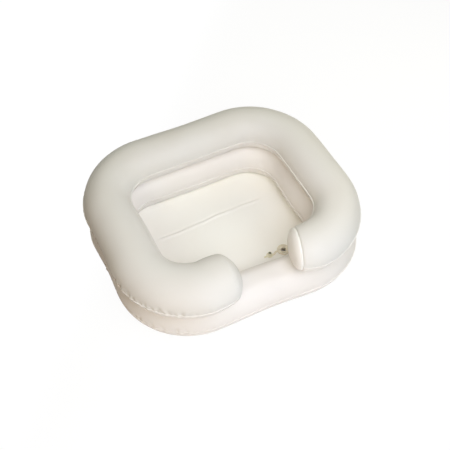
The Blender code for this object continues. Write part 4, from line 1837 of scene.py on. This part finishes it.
@dataclass(frozen=True)
class ValveSizes:
    """An inflation valve's flange, stem, plug, strap and flap, from the film's outer face."""

    flange: float = 0.0100
    flange_top: float = 0.0013
    collar: float = 0.0066
    collar_top: float = 0.0028
    stem: float = 0.0045
    stem_bore: float = 0.0032
    stem_end: float = -0.0120
    rim: float = 0.0058
    rim_low: float = 0.0031
    rim_top: float = 0.0041
    bead: float = 0.0051
    bead_top: float = -0.0108
    plug: float = 0.0060
    plug_low: float = 0.0044
    plug_top: float = 0.0059
    pin: float = 0.0029
    pin_tip: float = 0.0023
    pin_end: float = -0.0001
    hinge_distance: float = 0.0100
    strap_width: float = 0.0040
    strap_thickness: float = 0.0009
    strap_bulge: float = 0.0006
    strap_hold: float = 0.0004
    strap_points: int = 17
    tab: float = 0.0050
    tab_narrowing: float = 0.7
    flap: float = 0.0042
    flap_top: float = -0.0123
    flap_low: float = -0.0128
    flap_edge: float = 0.0001
    lip: float = 0.0003
    edge: float = 0.00018


class InflationValve:
    """One inflation valve: a flange on the film, a stem that pulls out, a plug and a check flap."""

    def __init__(self, name: str, sizes: ValveSizes, finish: Dressing, flap: Dressing) -> None:
        """Reads the valve's place off the frame's joints.

        Args:
            name: The start of the names of its nodes, bodies and joints.
            sizes: Its sizes.
            finish: The finish of its moulded pieces.
            flap: The finish of its check flap.
        """
        self.name = name
        self.sizes = sizes
        self.finish = finish
        self.flap = flap
        joints = {joint["name"]: joint for joint in frame["joints"]}
        hinge = joints[f"{name}_plug_open"]
        outward = Vector(joints[f"{name}_pull"]["axis"]).normalized()
        across = -Vector(hinge["axis"]).normalized()
        along = across.cross(outward)
        hinge_up = (sizes.rim_top + sizes.plug_low) / 2
        self.place = Matrix((along, across, outward)).transposed().to_4x4()
        self.place.translation = Vector(hinge["pos_m"]) + along * sizes.hinge_distance - outward * hinge_up

    def build(self) -> None:
        """Builds the valve's pieces."""
        size = self.sizes
        flange = turned(f"{self.name}_ring", self._flange_profile())
        stem = turned(f"{self.name}_tube", self._stem_profile())
        plug = turned(f"{self.name}_stopper", self._plug_profile(), solid=True)
        half = size.strap_width / 2
        tab = block(
            (size.plug - half, -half, size.plug_low),
            (size.plug + size.tab, half, size.plug_low + size.strap_thickness), size.tab_narrowing,
        )
        for obj in (flange, stem, plug, tab):
            soften(obj, size.edge)
        joined(plug, tab)
        check = turned(f"{self.name}_check", self._check_profile(), solid=True)
        smooth(check, SHARP_DEGREES)
        finish_fitting(flange, self.place, self.finish, "basin", f"{self.name}_flange")
        for obj, ending, finish in (
            (stem, "stem", self.finish), (plug, "plug", self.finish), (check, "flap", self.flap)
        ):
            node = f"{self.name}_{ending}"
            finish_fitting(obj, self.place, finish, node, node)
        self._strap()

    def _flange_profile(self) -> Profile:
        """The flange that is welded to the film, with a collar that the stem slides in.

        Returns:
            Its profile.
        """
        size = self.sizes
        hole, lip, top = size.stem + CLEARANCE, size.lip, size.flange_top
        return [
            (hole, CLEARANCE), (size.flange, CLEARANCE), (size.flange, top - lip),
            (size.flange - lip, top), (size.flange - 3 * lip, top), (size.flange - 4 * lip, top - lip),
            (size.collar + 2 * lip, top - lip), (size.collar, top + lip),
            (size.collar, size.collar_top - lip), (size.collar - lip, size.collar_top),
            (hole, size.collar_top),
        ]

    def _stem_profile(self) -> Profile:
        """The stem, with a rim outside and a bead at its inner end.

        Returns:
            Its profile.
        """
        size = self.sizes
        lip, top, end = size.lip, size.rim_top, size.stem_end
        return [
            (size.stem_bore, top), (size.rim - lip, top), (size.rim, top - lip), (size.rim, size.rim_low),
            (size.stem, size.rim_low), (size.stem, size.bead_top), (size.bead, size.bead_top),
            (size.bead, end + lip), (size.bead - lip, end), (size.stem_bore, end),
        ]

    def _plug_profile(self) -> Profile:
        """The plug: a pin that fills the stem's bore, under a dished head.

        Returns:
            Its profile.
        """
        size = self.sizes
        lip, top = size.lip, size.plug_top
        return [
            (size.pin_tip - lip, size.pin_end), (size.pin_tip, size.pin_end + lip),
            (size.pin, size.plug_low), (size.plug, size.plug_low), (size.plug, top - lip),
            (size.plug - lip, top), (size.pin + 2 * lip, top), (size.pin, top - 2 * lip),
        ]

    def _check_profile(self) -> Profile:
        """The check flap, a disc with its edges broken.

        Returns:
            Its profile.
        """
        size = self.sizes
        edge = size.flap_edge
        return [
            (size.flap - edge, size.flap_low), (size.flap, size.flap_low + edge),
            (size.flap, size.flap_top - edge), (size.flap - edge, size.flap_top),
        ]

    def _strap(self) -> None:
        """The strap that turns back from the stem's rim to the plug's head."""
        size = self.sizes
        low = size.rim_top - size.strap_thickness / 2
        high = size.plug_low + size.strap_thickness / 2
        turn = np.linspace(-QUARTER_TURN, QUARTER_TURN, size.strap_points)
        radius = (high - low) / 2
        back = -size.hinge_distance + radius
        straight = np.linspace(-size.rim + size.strap_hold, back, size.strap_points // 2 + 1)
        level = np.ones(len(straight) - 1)
        bend = back - (radius + size.strap_bulge) * np.cos(turn)
        x = np.concatenate([straight[:-1], bend, straight[-2::-1]])
        z = np.concatenate([low * level, (low + high) / 2 + radius * np.sin(turn), high * level])
        path = np.stack([x, 0.0 * x, z], axis=1)
        obj = strap(f"{self.name}_strap", path, size.strap_width, size.strap_thickness)
        finish_strap(obj, self.place, self.finish, f"{self.name}_strap")


# Studio


@dataclass(frozen=True)
class StudioSizes:
    """The camera's place as fitted to the photograph, the pale floor and the room's light."""

    azimuth: float = -26.34
    elevation: float = 52.07
    roll: float = 0.34
    distance: float = 1.852
    target: tuple[float, float, float] = (0.0, 0.0, 0.095)
    lens: float = 60.81
    shift: tuple[float, float] = (0.0095, -0.0203)
    floor_size: float = 8.0
    floor_drop: float = 0.0004
    floor_shadow: float = 0.10
    floor_pale: Colour = linear(250, 247, 241)
    floor_brown: Colour = linear(92, 80, 64)
    floor_roughness: float = 0.9
    floor_glow: float = 1.03
    brown_towards: tuple[float, float, float] = (-0.75, 0.66, 0.0)
    brown_edge: tuple[float, float] = (0.10, 0.40)
    white_edge: tuple[float, float] = (0.18, 0.19)
    world_colour: Colour = (1.0, 0.985, 0.955, 1.0)
    world_strength: float = 0.01


@dataclass(frozen=True)
class Lamp:
    """A soft square lamp that faces the basin from an azimuth and an elevation in degrees."""

    name: str
    azimuth: float
    elevation: float
    power: float
    colour: tuple[float, float, float]
    size: float = 1.3
    distance: float = 2.4


LAMPS = (
    Lamp("front_lamp", 0.0, 40.0, 14.8, (0.755, 0.922, 1.0)),
    Lamp("low_front_lamp", 0.0, 12.0, 8.6, (0.54, 0.716, 1.0)),
    Lamp("near_lamp", 0.0, 60.0, 7.4, (0.946, 0.929, 1.0), size=0.8, distance=1.1),
    Lamp("right_near_lamp", 90.0, 30.0, 3.2, (1.0, 0.95, 0.7), size=0.8, distance=1.1),
    Lamp("warm_left_lamp", -45.0, 40.0, 11.9, (1.0, 0.909, 0.523)),
    Lamp("low_left_lamp", -45.0, 12.0, 7.0, (1.0, 0.545, 0.426)),
    Lamp("back_lamp", 180.0, 40.0, 14.1, (0.98, 1.0, 0.83)),
)


class Studio:
    """Camera, pale floor and soft light."""

    def __init__(self, sizes: StudioSizes) -> None:
        """Keeps the sizes."""
        self.sizes = sizes

    def build(self) -> None:
        """Puts up the camera, the floor, the world and the lamps."""
        self._camera()
        self._floor()
        self._world()
        for lamp in LAMPS:
            self._hang(lamp)
        bpy.context.scene.view_settings.view_transform = "Standard"

    def _direction(self, azimuth: float, elevation: float) -> Vector:
        """The direction from the basin at an azimuth and an elevation in degrees."""
        turn, rise = math.radians(azimuth), math.radians(elevation)
        return Vector((math.sin(turn) * math.cos(rise), -math.cos(turn) * math.cos(rise), math.sin(rise)))

    def _put_up(self, data: bpy.types.ID, towards: Vector, distance: float, facing: object) -> Object:
        """Puts up a camera or a lamp.

        Args:
            data: The camera or the lamp.
            towards: The direction that it stands in from the target.
            distance: How far from the target it stands.
            facing: The way it is turned.

        Returns:
            It as an object in the scene.
        """
        obj = bpy.data.objects.new(data.name, data)
        bpy.context.scene.collection.objects.link(obj)
        obj.matrix_world = Matrix.LocRotScale(Vector(self.sizes.target) + towards * distance, facing, None)
        return obj

    def _camera(self) -> None:
        """Sets the camera at the photograph's viewing angle."""
        sizes = self.sizes
        data = bpy.data.cameras.new("photo_camera")
        data.lens = sizes.lens
        data.shift_x, data.shift_y = sizes.shift
        level = Euler((QUARTER_TURN - math.radians(sizes.elevation), 0.0, math.radians(sizes.azimuth)))
        facing = level.to_matrix() @ Matrix.Rotation(math.radians(sizes.roll), 3, "Z")
        towards = self._direction(sizes.azimuth, sizes.elevation)
        bpy.context.scene.camera = self._put_up(data, towards, sizes.distance, facing)

    def _floor(self) -> None:
        """Lays the pale floor, which stays white to the eye but keeps a soft shadow."""
        sizes = self.sizes
        deselect_all()
        bpy.ops.mesh.primitive_plane_add(size=sizes.floor_size, location=(0.0, 0.0, -sizes.floor_drop))
        floor = named("studio_floor")
        made = Surface("studio_floor")
        leftness, from_middle = (
            made.node("ShaderNodeVectorMath", {"operation": operation}, {0: made.place, 1: other}, "Value")
            for operation, other in (("DOT_PRODUCT", sizes.brown_towards), ("DISTANCE", (0.0, 0.0, 0.0)))
        )
        brown = leftness.eased(*sizes.brown_edge)
        white = made.node("ShaderNodeEmission", {}, {"Color": WHITE, "Strength": sizes.floor_glow})
        glowing = 1.0 - sizes.floor_shadow * (1.0 - brown)
        share = made.seen() * from_middle.eased(*sizes.white_edge) * glowing
        made.mix_shaders(share, Reading(made, made.shader.outputs[0]), white, "Material Output")
        floor.data.materials.append(made.finished({
            "Base Color": made.blend(brown, sizes.floor_pale, sizes.floor_brown),
            "Roughness": sizes.floor_roughness,
            "Specular IOR Level": 0.0,
        }))

    def _world(self) -> None:
        """Fills the room with even light, white to the eye."""
        world = bpy.data.worlds.new("studio_room")
        bpy.context.scene.world = world
        world.use_nodes = True
        room = Recipe(world.node_tree)
        light, white = (
            room.node("ShaderNodeBackground", {}, {"Color": colour, "Strength": strength})
            for colour, strength in ((self.sizes.world_colour, self.sizes.world_strength), (WHITE, 1.0))
        )
        room.mix_shaders(room.seen(), light, white, "World Output")

    def _hang(self, lamp: Lamp) -> None:
        """Hangs one lamp.

        Args:
            lamp: The lamp.
        """
        data = bpy.data.lights.new(lamp.name, "AREA")
        data.size = lamp.size
        data.energy = lamp.power
        data.color = lamp.colour
        towards = self._direction(lamp.azimuth, lamp.elevation)
        self._put_up(data, towards, lamp.distance, towards.to_track_quat("Z", "Y"))


# The basin


UPPER_TUBE = TubeSizes(
    half_length=0.2516, half_width=0.2084, section_half_width=0.0552, section_half_height=0.0502,
    centre_height=0.1476, flat_above=0.1000, flat_below=0.04565, corner_swell=0.0026,
    long_side_draw=0.0, lobe_swell=0.0055, lobe_inset=0.0035,
    swells=(
        Swell(-45.0, -0.0045, 0.0010), Swell(0.0, -0.0017, 0.0057), Swell(45.0, -0.0040, -0.0025),
        Swell(90.0, -0.0032, -0.0016), Swell(135.0, -0.0024, -0.0027), Swell(180.0, 0.0030, -0.0020),
        Swell(-135.0, 0.0034, -0.0041),
    ),
    puckers=(
        176.0, 170.0, -161.7, -158.2, -152.7, -150.6, -147.1, -144.6, -142.0, -139.8, -137.6, -135.2,
        -133.0, -130.7,
    ),
    ends=(
        TubeEnd(0.0982, 0.0070, 0.052, 0.0055, 0.0070, 0.042, 0.0215, 0.0013),
        TubeEnd(0.0810, 0.0056, 0.070, 0.0040, 0.0010, 0.030, 0.0290, 0.0, 0.5, settles=True),
    ),
)

LOWER_TUBE = TubeSizes(
    half_length=0.2519, half_width=0.2041, section_half_width=0.0549, section_half_height=0.0535,
    centre_height=0.0525, flat_above=0.04915, flat_below=0.0525, corner_swell=0.0027,
    long_side_draw=0.0035, neck_crown=0.0034,
    swells=(
        Swell(-90.0, 0.0014, -0.0017), Swell(-62.0, -0.0035, 0.0035), Swell(-45.0, 0.0028, 0.0015),
        Swell(0.0, 0.0007, -0.0020), Swell(45.0, 0.0005, 0.0005), Swell(90.0, 0.0010, 0.0),
        Swell(135.0, -0.0044, -0.0013), Swell(180.0, -0.0042, -0.0018), Swell(-135.0, -0.0032, -0.0032),
    ),
    puckers=(178.0, -152.3, -150.1, -144.1, -138.9, -133.5, -129.9),
)

DRAIN = Vector((0.1215, -0.1065, 0.0122))


def main() -> None:
    """Builds the basin piece by piece and sets it in the studio."""
    logging.basicConfig(level=logging.INFO, format="%(message)s")
    film, lightened_lower_film, lightened_panel_film, floor_film = (
        finish.material() for finish in (FilmFinish(), LIGHTENED_LOWER_FINISH, LIGHTENED_PANEL_FINISH, LIGHTENED_FLOOR_FINISH)
    )
    fitting = Dressing(FittingFinish().material(), "beige_fitting")
    pale_fitting = Dressing(PALE_FITTING_FINISH.material(), "beige_fitting")
    flap = Dressing(FlapFinish().material(), "clear_flap")
    upper = AirTube("upper", UPPER_TUBE, seed=11)
    lower = AirTube("lower", LOWER_TUBE, seed=37)
    upper_valve, lower_valve = (
        InflationValve(f"{name}_valve", ValveSizes(), fitting, flap) for name in ("upper", "lower")
    )
    upper.seat_valve(upper_valve.place, Film.BOTTOM)
    lower.seat_valve(lower_valve.place, Film.TOP)
    upper.film(Film.TOP, film)
    # The upper tube's bottom film takes the lighter copy of the film, painted light for the inner walls in
    # shade.
    upper.film(Film.BOTTOM, lightened_lower_film)
    lower.film(Film.TOP, lightened_lower_film)
    lower.film(Film.BOTTOM, lightened_lower_film)
    # The right end panel takes a lighter copy of the film than the left one, painted light for its shaded
    # face.
    EndPanel("right_end", upper, 0, seed=5).build(lightened_panel_film)
    EndPanel("left_end", upper, -1, seed=6).build(film)
    FloorFilm(FloorSizes(), lower, DRAIN).build(floor_film)
    DrainFittings(DrainSizes(), DRAIN, fitting, pale_fitting).build()
    upper_valve.build()
    lower_valve.build()
    Studio(StudioSizes()).build()


if __name__ == "__main__":
    main()
